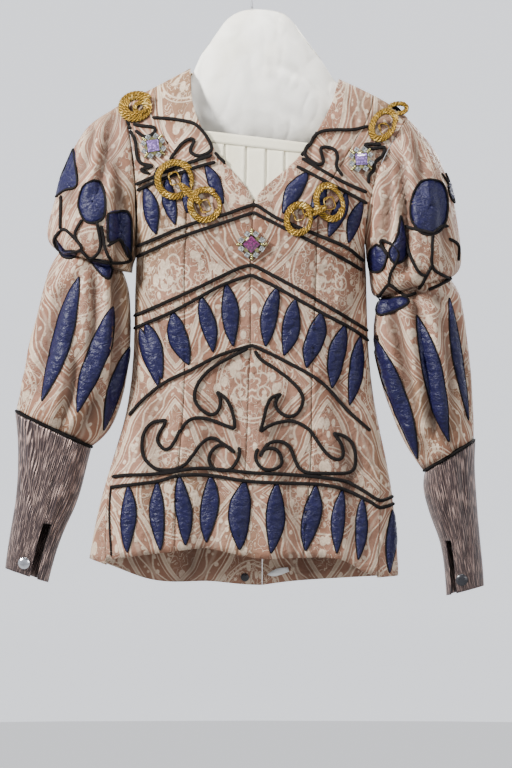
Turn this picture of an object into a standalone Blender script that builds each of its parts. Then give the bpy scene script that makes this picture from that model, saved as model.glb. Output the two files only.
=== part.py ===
"""Stage doublet hanging on a padded hanger: brocade panels, puffed sleeves, cuffs, cords, leaves, hanger."""

import math
from collections import namedtuple

import bmesh
import bpy
from mathutils import Vector
from mathutils.bvhtree import BVHTree

# Every size is in millimetres and becomes metres when a mesh is made.
MM = 0.001

# Body cloth
UNDERARM_Z = -423.0
PANEL_WALL = 2.0
SEAM_HALF = 0.3
ROUNDNESS = 0.8
FLAT_POWER = 4
FLAT_FROM = 0.5
PRINCESS_SHARE = 0.33
SLEEVE_COLUMNS = 24
ARMHOLE_ROWS = SLEEVE_COLUMNS // 2
LOWER_ROWS = 10
SEAM_SHARE_GAP = 0.0022

# Trims
TRIM_LIFT = 0.8
DIP = 0.25
SEAM_REACH = 0.015
CORD_WIDTH = 5.0
CORD_HEIGHT = 2.8
CORD_STEP = 13.0
LEAF_HEIGHT = 3.0
LEAF_ROOT = 7.0

# Sleeve cloth
PUFF_WALL = 1.5
CUFF_WALL = 1.5
SLEEVE_SEAM_GAP = 0.7
PIPING_RADIUS = 2.1
PIPING_STEP = 2.6

# Hanger
WIRE_RADIUS = 1.6
HOOK_RADIUS = 21.6
PAD_APEX_Z = -78.5
STEM_CLEARANCE = 0.4
STEM_STRAIGHT = 15.0

LEFT = -1
RIGHT = 1
FACET_REACH = 8.0
FACET_SLACK = 3.0
SIDE_LIFT = 0.7
SIDE_LIFT_START = 105.0
SIDE_LIFT_RUN = 45.0
FRONT_TREE = []

Level = namedtuple("Level", "z left right left_seam_degrees right_seam_degrees")
BODY_LEVELS = (
    Level(-423, -160.0, 157.0, 90, 90),
    Level(-481, -162.0, 159.0, 89, 86),
    Level(-558, -163.5, 162.3, 86, 80),
    Level(-620, -170.5, 168.0, 82, 75),
    Level(-674, -185.6, 181.0, 77, 70),
    Level(-722, -200.0, 191.0, 72, 65),
    Level(-765, -213.0, 197.0, 67, 61),
    Level(-823, -225.0, 203.0, 60, 58),
    Level(-860, -229.0, 204.5, 56, 56),
    Level(-885, -230.0, 205.0, 54, 54),
)

# Lines across the garment: x and z, from the left
CENTRE_FRONT = (
    (-885, -20.0), (-823, -19.0), (-765, -14.0), (-701, -7.5), (-595, -4.5), (-529, -1.0),
    (-449, -2.8), (-336, 3.0),
)
CENTRE_BACK = ((-885, 14.0), (-600, 15.0), (-190, 17.0))
FRONT_HEM = (
    (-230, -837), (-199, -838), (-150, -832), (-86, -824), (-62, -821), (-19, -831), (11, -837),
    (106, -834), (131, -840), (161, -859), (205, -860),
)
BACK_HEM = (
    (-230, -836), (-204, -844), (-150, -868), (-110, -874), (-63, -869), (0, -879), (59, -870),
    (115, -867), (205, -861),
)
SHOULDER = (
    (-190, -213), (-176.6, -206), (-147, -193), (-85, -160), (17, -158), (120, -174.6),
    (158, -192), (185, -206), (215, -228), (230, -240),
)
NECK_LEFT = ((3, -336), (-33, -303), (-54, -272), (-77, -234), (-84, -197), (-85, -160))
NECK_RIGHT = ((3, -336), (41, -314), (67, -285), (88, -254), (109, -215), (120, -174.6))
BACK_NECK_LEFT = ((17, -190), (-30, -186), (-68, -174), (-85, -160))
BACK_NECK_RIGHT = ((17, -190), (62, -188), (100, -184), (120, -174.6))

# Depth of the body under the shoulder line: distance down, depth
FRONT_DEPTH = (
    (0, 0), (8, 20), (20, 30), (40, 40), (80, 52), (150, 66), (230, 74), (330, 68), (430, 60),
    (560, 54), (760, 52),
)
BACK_DEPTH = ((0, 0), (8, 20), (20, 30), (40, 41), (80, 50), (150, 57), (230, 60), (430, 50), (760, 48))

# Hanging waves of the hem: share across the front, depth
HEM_WAVES = ((0.0, 0.0), (0.16, 3.0), (0.34, -2.5), (0.5, 2.5), (0.68, -3.0), (0.84, 3.0), (1.0, 0.0))
WAVE_START_Z = -640.0
WAVE_FULL_Z = -830.0

FRONT_CENTRE_COLUMNS = (0.0, 0.03, 0.08, 0.14, 0.20, 0.265, PRINCESS_SHARE)
FRONT_SIDE_COLUMNS = (PRINCESS_SHARE, 0.43, 0.54, 0.65, 0.75, 0.84, 0.92, 0.97, 1.0)
BACK_COLUMNS = (0.0, 0.04, 0.11, 0.20, 0.30, 0.42, 0.55, 0.67, 0.78, 0.88, 1.0)
FORK_REACH = 0.045
HEM_LOOK_Z = -845.0

Ring = namedtuple("Ring", "out_x out_z in_x in_z depth gather")
ARMHOLE = {
    LEFT: Ring(-176.6, -206, -160.0, -423, 47, 8),
    RIGHT: Ring(215.0, -228, 157.0, -423, 47, 20),
}
UPPER_PUFF = {
    LEFT: (
        Ring(-199, -218.5, -161, -425.5, 57, 0.6),
        Ring(-226, -234, -162, -428, 66, 1.0),
        Ring(-246, -263, -163, -431, 74, 1.0),
        Ring(-262, -300, -164, -434.5, 76, 1.0),
        Ring(-276, -346, -164.4, -438, 76, 1.0),
        Ring(-289, -392, -165, -443.5, 70, 0.9),
        Ring(-276, -409, -169, -443, 60, 0.3),
        Ring(-266, -413, -178, -441, 50, 0.0),
    ),
    RIGHT: (
        Ring(233, -245, 158.4, -428, 57, 0.6),
        Ring(254, -270, 159.4, -434, 66, 1.0),
        Ring(269, -302, 160.4, -440, 74, 1.0),
        Ring(280, -336, 161, -446, 76, 1.0),
        Ring(288, -382, 162, -456, 77, 1.0),
        Ring(294, -431, 163.5, -471, 71, 0.9),
        Ring(283, -446, 169, -477, 60, 0.3),
        Ring(274, -450, 178, -476, 50, 0.0),
    ),
}
LOWER_PUFF = {
    LEFT: (
        Ring(-265.2, -412, -178.8, -440, 49.2, 0.0),
        Ring(-284, -437, -169, -462, 58, 0.5),
        Ring(-295, -481, -165.6, -501, 62, 1.0),
        Ring(-312, -550, -168, -572, 62, 1.0),
        Ring(-323, -608, -181, -635, 54, 1.0),
        Ring(-326, -624, -200, -668, 46, 0.6),
        Ring(-326.5, -631, -219, -682, 38, 0.0),
    ),
    RIGHT: (
        Ring(273.2, -449, 178.8, -475, 49.2, 0.0),
        Ring(291, -471, 168, -498, 58, 0.5),
        Ring(296, -508, 165.6, -533, 62, 1.0),
        Ring(305, -570, 174, -588, 62, 1.0),
        Ring(308, -624, 192.5, -639, 55, 1.0),
        Ring(308.4, -653, 210, -681, 47, 0.6),
        Ring(307, -671, 235, -715, 38, 0.0),
    ),
}
CUFF = {
    LEFT: (
        Ring(-324.6, -668, -226, -704, 35, 0),
        Ring(-324.6, -708, -232.5, -732, 32, 0),
        Ring(-326, -746, -241.5, -764, 28, 0),
        Ring(-331.5, -782, -257, -793, 24, 0),
        Ring(-339, -824, -272, -834, 20, 0),
        Ring(-342, -851, -281, -871, 18, 0),
    ),
    RIGHT: (
        Ring(308, -707, 235, -737, 35, 0),
        Ring(310.5, -743, 239, -758, 32, 0),
        Ring(313, -780, 248, -786, 28, 0),
        Ring(316, -812, 260, -813, 24, 0),
        Ring(320, -850, 266, -850, 20, 0),
        Ring(321.5, -875, 268, -889, 18, 0),
    ),
}
CUFF_COLUMNS = 18
CUFF_SLIT_COLUMN = {LEFT: 5, RIGHT: 6}
CUFF_SLIT_ROWS = 2

# Gathers round a puff: degrees round the arm (0 outer, 90 front, 180 inner), depth inward
Gather = namedtuple("Gather", "degrees depth")
UPPER_GATHERS = (Gather(15, 3.5), Gather(45, 5.0), Gather(75, 3.0), Gather(105, 6.5), Gather(135, 5.0),
                 Gather(225, 4.0), Gather(255, 5.5), Gather(285, 3.5), Gather(315, 5.0), Gather(345, 3.0))
LOWER_GATHERS = (Gather(0, 3.0), Gather(45, 3.5), Gather(90, 4.0), Gather(135, 4.0),
                 Gather(225, 3.5), Gather(270, 4.0), Gather(315, 3.0))
GATHER_WIDTH_DEGREES = 9.0
# Navy leaves raised on the lower puff: degrees round the arm
LOWER_LEAF_DEGREES = (30, 75, 120)
LOWER_LEAF_RISE = 2.2

# Cords on the front: x and z from the left end
YOKE_UPPER = {
    LEFT: ((-159, -323), (-132, -312), (-91, -296), (-55, -284)),
    RIGHT: ((68, -288), (109, -312), (131, -323), (157, -334)),
}
YOKE_LEAFED = {
    LEFT: ((-157, -331), (-132, -320), (-78, -301), (-50, -293)),
    RIGHT: ((61, -299), (109, -324), (131, -335), (157, -349)),
}
CHEST_UPPER = (
    (-156, -407), (-128, -396), (-86, -379), (-40, -366), (3, -352), (34, -370), (82, -390),
    (128, -409), (150, -426),
)
CHEST_LOWER = (
    (-156, -421), (-128, -409), (-96, -395), (-47, -379), (3, -363), (41, -382), (91, -407),
    (128, -427), (148, -439),
)
WAIST_UPPER = (
    (-160, -503), (-121, -486), (-72, -464), (-22, -440), (0, -435), (34, -451), (83, -478),
    (132, -507), (156, -522),
)
WAIST_LEAFED = (
    (-160, -520), (-108, -497), (-72, -478), (-40, -461), (-1, -448), (38, -467), (95, -499),
    (137, -521), (157, -536),
)
BELLY_ARC = (
    (-168, -640), (-150, -619), (-120, -595), (-83, -577), (-44, -557), (0, -545), (47, -566),
    (94, -594), (131, -633), (160, -659),
)
HEM_UPPER = (
    (-192, -725), (-172, -722), (-144, -721), (-115, -718), (-70, -712), (-1, -718), (69, -722),
    (123, -729), (146, -739), (166, -752),
)
HEM_LEAFED = (
    (-194, -739), (-150, -733), (-128, -730), (-99, -722), (-57, -722), (-12, -729), (30, -732),
    (99, -735), (135, -745), (166, -761),
)

# Leaves: top x and z under the cord, tip x and z, width
Leaf = namedtuple("Leaf", "top_x top_z tip_x tip_z width")
YOKE_LEAVES = {
    LEFT: (Leaf(-147, -326, -130, -391, 21), Leaf(-118, -315, -106, -379, 19), Leaf(-91, -305, -89, -363, 15),
           Leaf(-64, -297, -56, -333, 15)),
    RIGHT: (Leaf(75, -306, 41, -363, 22), Leaf(101, -320, 79, -375, 19), Leaf(129, -334, 106, -396, 19),
            Leaf(150, -345, 131, -403, 17)),
}
WAIST_LEAVES = (
    Leaf(-146, -513, -122, -589, 23), Leaf(-110, -498, -88, -571, 26), Leaf(-68, -476, -53, -553, 21),
    Leaf(-36, -459, -24, -545, 23), Leaf(33, -464, 17, -545, 23), Leaf(61, -481, 44, -558, 24),
    Leaf(94, -498, 76, -575, 26), Leaf(126, -515, 108, -602, 24), Leaf(150, -531, 134, -626, 20),
)
HEM_LEAVES = (
    Leaf(-170, -736, -170, -828, 21), Leaf(-131, -730, -127, -825, 20), Leaf(-98, -722, -91, -818, 22),
    Leaf(-57, -722, -61, -814, 25), Leaf(-12, -729, -19, -824, 30), Leaf(36, -732, 26, -829, 25),
    Leaf(87, -735, 75, -826, 25), Leaf(123, -741, 115, -829, 18), Leaf(153, -753, 146, -838, 17),
)

# Belly scrolls: arcs that meet in cusps, x and z
SCROLLS = {
    LEFT: (
        ((-8, -556), (-33, -569), (-69, -592), (-79, -619), (-61, -635), (-43, -623), (-48, -603)),
        ((-48, -603), (-31, -620), (-23, -640), (-25, -659)),
        ((-25, -659), (-52, -646), (-80, -646), (-104, -668), (-121, -688), (-131, -669), (-118, -650)),
        ((-118, -650), (-146, -662), (-152, -688), (-134, -708), (-97, -704), (-70, -678), (-50, -670), (-26, -686)),
        ((-26, -686), (-48, -684), (-56, -697), (-37, -704), (-18, -696), (-15, -676)),
    ),
    RIGHT: (
        ((8, -560), (33, -582), (62, -601), (69, -621), (52, -640), (38, -629), (42, -608)),
        ((42, -608), (25, -619), (16, -638), (12, -663)),
        ((12, -663), (40, -650), (68, -653), (92, -674), (113, -696), (122, -684), (106, -661)),
        ((106, -661), (126, -662), (139, -690), (126, -712), (81, -711), (58, -698), (40, -679), (22, -680), (11, -697)),
    ),
}

# Gold rope knots: loop centre, half width, half height, tilt; a second loop crosses the first
Knot = namedtuple("Knot", "name x z wide high tilt lobes lift")
KNOTS = (
    Knot("gold_knot_shoulder_left", -156, -223, 18, 18, 0, 1, 2.4),
    Knot("gold_knot_chest_left", -84, -336, 38, 17, -38, 2, 4.2),
    Knot("gold_knot_shoulder_right", 180, -246, 17, 23, -25, 1, 3.0),
    Knot("gold_knot_chest_right", 87, -361, 36, 18, 24, 2, 4.2),
)
ROPE_RADIUS = 4.6
ROPE_SIDES = 5

Jewel = namedtuple("Jewel", "name x z size turn")
JEWELS = (
    Jewel("jewel_left", -135, -271, 17, 20),
    Jewel("jewel_right", 149, -289, 17, 8),
    Jewel("jewel_centre", 0, -406, 21, 45),
)
JEWEL_HEIGHT = 8.0

# Cream front behind the V neck
VESTEE_TOP = ((-78, -247), (98, -268))
VESTEE_BAND_DROP = 15.0
VESTEE_WALL = 1.3
VESTEE_SETBACK = 2.9
PLEAT_LINES = (-65, -37, -8, 19.5, 45, 72)
PLEAT_RISE = 1.2

# Padded hanger along x: x, top z, bottom z, half depth
PadRing = namedtuple("PadRing", "x top bottom depth")
PAD_RINGS = (
    PadRing(-168, -213, -236, 8), PadRing(-160, -207, -244, 12), PadRing(-130, -193, -250, 17), PadRing(-100, -177, -256, 18),
    PadRing(-84, -174, -260, 12), PadRing(-74, -145, -262, 13), PadRing(-62, -128, -264, 20), PadRing(-46, -103, -265, 23),
    PadRing(-29, -87, -266, 26), PadRing(-12, -79, -266, 28), PadRing(12, -78, -266, 28), PadRing(41, -81.5, -267, 26),
    PadRing(54, -92, -268, 24), PadRing(67, -109, -270, 22), PadRing(82, -131, -270, 20), PadRing(101, -153, -272, 15),
    PadRing(115, -178, -272, 13), PadRing(124, -184, -270, 14), PadRing(150, -197, -266, 16), PadRing(180, -212, -262, 13),
    PadRing(197, -224, -252, 8),
)
PAD_SIDES = 12

POPPER = (-10, -866)
POPPER_RADIUS = 6.5
TAPE = ((21, -862), (33, -853), (50, -852), (52, -858), (30, -867))
BUTTON_RADIUS = 9.0
BUTTON_HEIGHT = 4.0

COLOURS = {
    "brocade": ((0.56, 0.34, 0.26, 1), 0.75, 0.0),
    "cream": ((0.82, 0.78, 0.68, 1), 0.8, 0.0),
    "calico": ((0.84, 0.80, 0.70, 1), 0.85, 0.0),
    "navy": ((0.02, 0.025, 0.10, 1), 0.45, 0.0),
    "cord": ((0.03, 0.025, 0.025, 1), 0.6, 0.0),
    "lame": ((0.20, 0.15, 0.15, 1), 0.4, 0.3),
    "gold": ((0.75, 0.55, 0.18, 1), 0.35, 1.0),
    "jewel": ((0.45, 0.30, 0.60, 1), 0.1, 0.0),
    "silver": ((0.75, 0.75, 0.76, 1), 0.25, 1.0),
    "wire": ((0.70, 0.70, 0.72, 1), 0.3, 1.0),
    "black": ((0.02, 0.02, 0.02, 1), 0.5, 0.0),
    "tape": ((0.85, 0.85, 0.85, 1), 0.8, 0.0),
}


def lerp(start, end, share):
    return start + (end - start) * share


def smooth_step(share):
    share = max(0.0, min(1.0, share))
    return share * share * (3 - 2 * share)


def along(table, where):
    """Straight interpolation in a table of two columns."""
    if where <= table[0][0]:
        return table[0][1]
    for (first, low), (second, high) in zip(table, table[1:]):
        if where <= second:
            return lerp(low, high, (where - first) / (second - first))
    return table[-1][1]


def path_at(path, share):
    """Point at a share of a path's length."""
    lengths = [math.dist(a, b) for a, b in zip(path, path[1:])]
    left = share * sum(lengths)
    for (a, b), length in zip(zip(path, path[1:]), lengths):
        if left <= length:
            return [lerp(p, q, left / length) for p, q in zip(a, b)]
        left -= length
    return list(path[-1])


def spline(path, step):
    """Smooth curve through the points, cut in even steps."""
    dense = []
    for i in range(len(path) - 1):
        before, start = path[max(i - 1, 0)], path[i]
        end, after = path[i + 1], path[min(i + 2, len(path) - 1)]
        for k in range(8):
            t = k / 8
            dense.append([0.5 * (2 * b + (c - a) * t + (2 * a - 5 * b + 4 * c - d) * t * t + (3 * b - a - 3 * c + d) * t ** 3)
                          for a, b, c, d in zip(before, start, end, after)])
    dense.append(list(path[-1]))
    total = sum(math.dist(a, b) for a, b in zip(dense, dense[1:]))
    count = max(2, round(total / step))
    return [path_at(dense, k / count) for k in range(count + 1)]


def material(name, slot):
    found = bpy.data.materials.get(name)
    if found:
        return found
    made = bpy.data.materials.new(name)
    made.use_nodes = True
    colour, roughness, metallic = COLOURS[slot]
    shader = made.node_tree.nodes["Principled BSDF"]
    shader.inputs["Base Color"].default_value = colour
    shader.inputs["Roughness"].default_value = roughness
    shader.inputs["Metallic"].default_value = metallic
    made.diffuse_color = colour
    return made


def add_object(name, points, faces, slot):
    """One closed body from points in millimetres, its faces turned outward."""
    mesh = bpy.data.meshes.new(name)
    mesh.from_pydata([Vector(p) * MM for p in points], [], faces)
    shape = bmesh.new()
    shape.from_mesh(mesh)
    bmesh.ops.recalc_face_normals(shape, faces=shape.faces)
    if shape.calc_volume(signed=True) < 0:
        bmesh.ops.reverse_faces(shape, faces=shape.faces)
    shape.to_mesh(mesh)
    shape.free()
    obj = bpy.data.objects.new(name, mesh)
    bpy.context.scene.collection.objects.link(obj)
    mesh.materials.append(material(name, slot))
    return obj


def wall_body(name, outer, inner, slot, closed=False, cut=()):
    """A wall between an outer and an inner grid of points, with rims on its open edges."""
    rows, columns = len(outer), len(outer[0])
    spans = columns if closed else columns - 1
    points, index, faces = [], {}, []

    def vertex(side, row, column):
        key = (side, row, column % columns)
        if key not in index:
            index[key] = len(points)
            points.append((outer, inner)[side][key[1]][key[2]])
        return index[key]

    cells = {(r, c) for r in range(rows - 1) for c in range(spans)} - set(cut)
    for r, c in sorted(cells):
        corners = ((r, c), (r, c + 1), (r + 1, c + 1), (r + 1, c))
        spots = [outer[row][column % columns] for row, column in corners]
        first = 0 if (spots[0] - spots[2]).length <= (spots[1] - spots[3]).length else 1
        for half in ((first, first + 1, first + 2), (first, first + 2, first + 3)):
            turned = [corners[k % 4] for k in half]
            faces.append([vertex(0, *k) for k in turned])
            faces.append([vertex(1, *k) for k in reversed(turned)])
        neighbours = ((r - 1, c), (r, c + 1), (r + 1, c), (r, c - 1))
        for k, (row, column) in enumerate(neighbours):
            beside = (row, column % spans) if closed else (row, column)
            if beside not in cells:
                a, b = corners[k], corners[(k + 1) % 4]
                faces.append([vertex(0, *b), vertex(0, *a), vertex(1, *a), vertex(1, *b)])
    return add_object(name, points, faces, slot)


def ring_body(name, rings, slot, closed=False):
    """A solid through rings of points, with flat ends or joined end to end."""
    size = len(rings[0])
    points = [p for ring in rings for p in ring]
    faces = []
    spans = len(rings) if closed else len(rings) - 1
    for r in range(spans):
        for c in range(size):
            d = (c + 1) % size
            s = (r + 1) % len(rings)
            faces.append([r * size + c, r * size + d, s * size + d, s * size + c])
    if not closed:
        faces.append(list(range(size)))
        faces.append(list(range(len(points) - size, len(points)))[::-1])
    return add_object(name, points, faces, slot)


def normal_of(surface, u, v, step_u, step_v, sign):
    """Point and unit normal of a surface function by small differences; sign turns the normal outward."""
    here = surface(u, v)
    low, high = surface(u - step_u[0], v), surface(u + step_u[1], v)
    below, above = surface(u, v - step_v[0]), surface(u, v + step_v[1])
    found = (high - low).cross(above - below) * sign
    found.normalize()
    return here, found


# Body surfaces


def side_x(side, z):
    column = "left" if side == LEFT else "right"
    return along([(row.z, getattr(row, column)) for row in reversed(BODY_LEVELS)], z)


def seam_angle(side, z):
    column = "left_seam_degrees" if side == LEFT else "right_seam_degrees"
    return math.radians(along([(row.z, getattr(row, column)) for row in reversed(BODY_LEVELS)], z))


def neck_start(side, z):
    """Share across the front where the cloth starts: the centre seam, or the neck edge above it."""
    neck = NECK_LEFT if side == LEFT else NECK_RIGHT
    if z <= neck[0][1]:
        return 0.0
    centre = along(CENTRE_FRONT, z)
    edge_x, _ = armhole(side, arm_share(side, z))
    x = along([(row[1], row[0]) for row in neck], z)
    return math.asin(max(0.0, (x - centre) / (edge_x - centre)) ** (1 / ROUNDNESS)) * 2 / math.pi


def arm_share(side, z):
    return max(0.0, min(1.0, (z - UNDERARM_Z) / (ARMHOLE[side].out_z - UNDERARM_Z)))


def front_column(side, column, z):
    return lerp(neck_start(side, z), 1.0, column)


def column_top(surface, side, share_at, line):
    """Height where a column of the surface reaches the line of its top edge."""
    low, high = -260.0, -150.0
    for _ in range(24):
        middle = (low + high) / 2
        if along(line, surface(side, share_at(middle), middle).x) > middle:
            low = middle
        else:
            high = middle
    return (low + high) / 2


def armhole(side, share):
    """Edge x and depth at a share of the height from underarm to shoulder."""
    ring = ARMHOLE[side]
    round_share = max(0.0, 1 - (2 * share - 1) ** 2)
    return lerp(ring.in_x, ring.out_x, share) - side * ring.gather * round_share, ring.depth * math.sqrt(round_share)


def upper_point(side, u, z, centre, depth_table, facing):
    edge_x, edge_depth = armhole(side, arm_share(side, z))
    across = math.sin(u * math.pi / 2) ** ROUNDNESS
    x = centre + (edge_x - centre) * across
    round_level = max(0.0, math.cos(u * math.pi / 2)) ** ROUNDNESS
    level = lerp(round_level, 1 - across ** FLAT_POWER, smooth_step(arm_share(side, z) / FLAT_FROM))
    depth = along(depth_table, along(SHOULDER, x) - z)
    return Vector((x, facing * (lerp(edge_depth, depth, level) + SEAM_HALF), z))


def hem_wave(side, u, z):
    across = 0.5 + side * u / 2
    return along(HEM_WAVES, across) * smooth_step((WAVE_START_Z - z) / (WAVE_START_Z - WAVE_FULL_Z))


def front_shell(side, angle, u, z):
    centre = along(CENTRE_FRONT, z)
    x = centre + (side_x(side, z) - centre) * math.sin(angle) ** ROUNDNESS
    depth = along(FRONT_DEPTH, along(SHOULDER, x) - z) + hem_wave(side, u, z)
    return Vector((x, -depth * max(0.0, math.cos(angle)) ** ROUNDNESS, z))


def front_surface(side, u, z):
    u = abs(u)
    if z > UNDERARM_Z:
        return upper_point(side, u, z, along(CENTRE_FRONT, z), FRONT_DEPTH, -1)
    point = front_shell(side, u * seam_angle(side, z), u, z)
    return point - Vector((0, SEAM_HALF, 0))


def back_surface(side, u, z):
    u = abs(u)
    centre = along(CENTRE_BACK, z)
    if z > UNDERARM_Z:
        return upper_point(side, u, z, centre, BACK_DEPTH, 1)
    angle = u * (math.pi - seam_angle(side, z))
    if angle > math.pi / 2:
        return front_shell(side, math.pi - angle, (math.pi - angle) / seam_angle(side, z), z) + Vector((0, SEAM_HALF, 0))
    x = centre + (side_x(side, z) - centre) * math.sin(angle) ** ROUNDNESS
    depth = along(BACK_DEPTH, along(SHOULDER, x) - z)
    return Vector((x, depth * math.cos(angle) ** ROUNDNESS + SEAM_HALF, z))


def panel_frame(surface, side, u, z, facing):
    steps = (0.01, 0.0) if u > 0.5 else (0.0, 0.01)
    return normal_of(lambda a, b: surface(side, a, b), u, z, steps, (1.0, 0.0), -side * facing)


def panel(name, surface, side, columns, shares, share_at, top_line, hem, facing):
    """One cloth panel: columns across, rows from its top edge to the hem."""
    grid = []
    last = len(columns) - 1
    for i, column in enumerate(columns):
        top_z = column_top(surface, side, lambda z: share_at(side, column, z), top_line)
        hem_z = along(hem, surface(side, column, HEM_LOOK_Z).x)
        heights = [lerp(UNDERARM_Z, top_z, share) for share in shares]
        heights += [lerp(UNDERARM_Z, hem_z, k / LOWER_ROWS) for k in range(1, LOWER_ROWS + 1)]
        cells = []
        for row, z in enumerate(heights):
            below = z < UNDERARM_Z - 1
            u = share_at(side, column, z)
            if i == 0 and column > 0:
                u += SEAM_SHARE_GAP
            if i == last and (column < 1 or below):
                u -= SEAM_SHARE_GAP
            point, normal = panel_frame(surface, side, u, z, facing)
            on_shoulder = row == 0 and abs(top_z - along(SHOULDER, point.x)) < 0.5
            if on_shoulder or (column == 1.0 and not below and abs(point.y) <= SEAM_HALF + 0.01):
                normal.y = 0.0
            if u == 0.0:
                normal.x = 0.0
                point.x += side * SEAM_HALF
            normal.normalize()
            cells.append((point, point - normal * PANEL_WALL))
        grid.append(cells)
    rows = range(len(grid[0]))
    outer = [[cells[row][0] for cells in grid] for row in rows]
    inner = [[cells[row][1] for cells in grid] for row in rows]
    return wall_body(name, outer, inner, "brocade")


def add_panels():
    arm_heights = [(1 + math.cos(math.pi * k / ARMHOLE_ROWS)) / 2 for k in range(ARMHOLE_ROWS + 1)]
    plain = lambda side, column, z: column
    for side, word in ((LEFT, "left"), (RIGHT, "right")):
        neck = NECK_LEFT if side == LEFT else NECK_RIGHT
        fork = (neck[0][1] - UNDERARM_Z) / (neck[-1][1] - UNDERARM_Z)
        heights = [share if abs(share - fork) > FORK_REACH else fork for share in arm_heights]
        back_neck = BACK_NECK_LEFT if side == LEFT else BACK_NECK_RIGHT
        back_line = sorted([row for row in SHOULDER if (row[0] - back_neck[-1][0]) * side > 0] + list(back_neck))
        panel("front_centre_" + word, front_surface, side, FRONT_CENTRE_COLUMNS, heights, front_column, SHOULDER, FRONT_HEM, -1)
        panel("front_side_" + word, front_surface, side, FRONT_SIDE_COLUMNS, heights, front_column, SHOULDER, FRONT_HEM, -1)
        panel("back_" + word, back_surface, side, BACK_COLUMNS, arm_heights, plain, back_line, BACK_HEM, 1)


# Points on the front, by x and z


def build_front_tree():
    """Search tree over the front panels and what of the back shows beside them."""
    points, faces = [], []
    for obj in bpy.data.objects:
        if obj.name.startswith(("front_", "back_")):
            first = len(points)
            points.extend(v.co.copy() for v in obj.data.vertices)
            faces.extend([first + i for i in face.vertices] for face in obj.data.polygons)
    FRONT_TREE.append(BVHTree.FromPolygons(points, faces))


def front_share(side, x, z):
    """Share across the front whose surface point has this x."""
    low, high = 0.0, 1.0
    for _ in range(26):
        middle = (low + high) / 2
        if (front_surface(side, middle, z).x - x) * side > 0:
            high = middle
        else:
            low = middle
    return (low + high) / 2


def front_at(x, z):
    side = LEFT if x < along(CENTRE_FRONT, z) else RIGHT
    u = front_share(side, x, z)
    steps = (0.0, 0.02) if u < 0.02 else (min(u, 0.02), min(1 - u, 0.02))
    return normal_of(lambda a, b: front_surface(side, a, b), u, z, steps, (3.0, 3.0), side)


def lifted(x, z, height):
    """Point over the front panels as they are cut in facets."""
    point, normal = front_at(x, z)
    start = point + normal * FACET_REACH
    hit, _, _, _ = FRONT_TREE[0].ray_cast(start * MM, -normal, 2 * FACET_REACH * MM)
    side = LEFT if x < along(CENTRE_FRONT, z) else RIGHT
    on_seam = abs(x - along(CENTRE_FRONT, z)) < FACET_SLACK or abs(front_share(side, x, z) - PRINCESS_SHARE) < SEAM_REACH
    if hit and not on_seam and (hit / MM - point).length < FACET_SLACK:
        point = hit / MM
    side_lift = SIDE_LIFT * smooth_step((abs(x) - SIDE_LIFT_START) / SIDE_LIFT_RUN)
    return point + normal * (height + side_lift)


def fitted(path, place=lifted):
    """The path with stations added where a straight piece would dip into the cloth."""
    cut = [list(path[0])]
    for here, after in zip(path, path[1:]):
        parts = 1
        middle = [(a + b) / 2 for a, b in zip(here, after)]
        chord = (place(*here, TRIM_LIFT) + place(*after, TRIM_LIFT)) / 2
        wall = place(*middle, 0.0)
        if (chord - wall).length < TRIM_LIFT - DIP or chord.y > wall.y:
            parts = 3
        cut.extend([lerp(a, b, k / parts) for a, b in zip(here, after)] for k in range(1, parts + 1))
    return cut


def strip_rings(path, width, height, lift, place=lifted):
    """Rings of four points along a path on the front: lower, raised, raised, upper side."""
    rings = []
    for i, here in enumerate(path):
        before, after = path[max(i - 1, 0)], path[min(i + 1, len(path) - 1)]
        a = Vector((here[0] - before[0], here[1] - before[1]))
        b = Vector((after[0] - here[0], after[1] - here[1]))
        if a.length < 1e-6:
            a = b.copy()
        if b.length < 1e-6:
            b = a.copy()
        a.normalize()
        b.normalize()
        across = Vector((-a.y - b.y, a.x + b.x))
        half = width / 2
        if across.length < 1e-6:
            across = Vector((a.x, a.y))
        across.normalize()
        turn = abs(across.dot(Vector((-a.y, a.x))))
        bend = a.x * b.y - a.y * b.x
        inside = half / max(turn, 0.3)
        outside = min(inside, half * 1.3)
        up, down = (inside, outside) if bend > 0 else (outside, inside)
        low = (here[0] - across.x * down, here[1] - across.y * down)
        top = (here[0] + across.x * up, here[1] + across.y * up)
        inner_low = (here[0] - across.x * down * 0.5, here[1] - across.y * down * 0.5)
        inner_top = (here[0] + across.x * up * 0.5, here[1] + across.y * up * 0.5)
        rings.append([place(*low, lift), place(*inner_low, lift + height), place(*inner_top, lift + height), place(*top, lift)])
    return rings


def cord(name, path, place=lifted):
    return ring_body(name, strip_rings(fitted(spline(path, CORD_STEP), place), CORD_WIDTH, CORD_HEIGHT, TRIM_LIFT, place), "cord")


def scroll(name, arcs):
    stations = []
    for arc in arcs:
        cut = spline(arc, CORD_STEP)
        stations.extend(cut if not stations else cut[1:])
    return ring_body(name, strip_rings(stations, CORD_WIDTH, CORD_HEIGHT, TRIM_LIFT), "cord")


LEAF_SHAPE = ((0.10, 0.45), (0.30, 0.88), (0.52, 1.0), (0.76, 0.74), (0.92, 0.34), (1.0, 0.08))


# Section of a leaf: share of the half width, share of the rise
LEAF_SECTION = ((1.0, 0.0), (0.6, 0.9), (0.0, 1.0), (-0.6, 0.9), (-1.0, 0.0), (0.0, 0.0))


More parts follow.
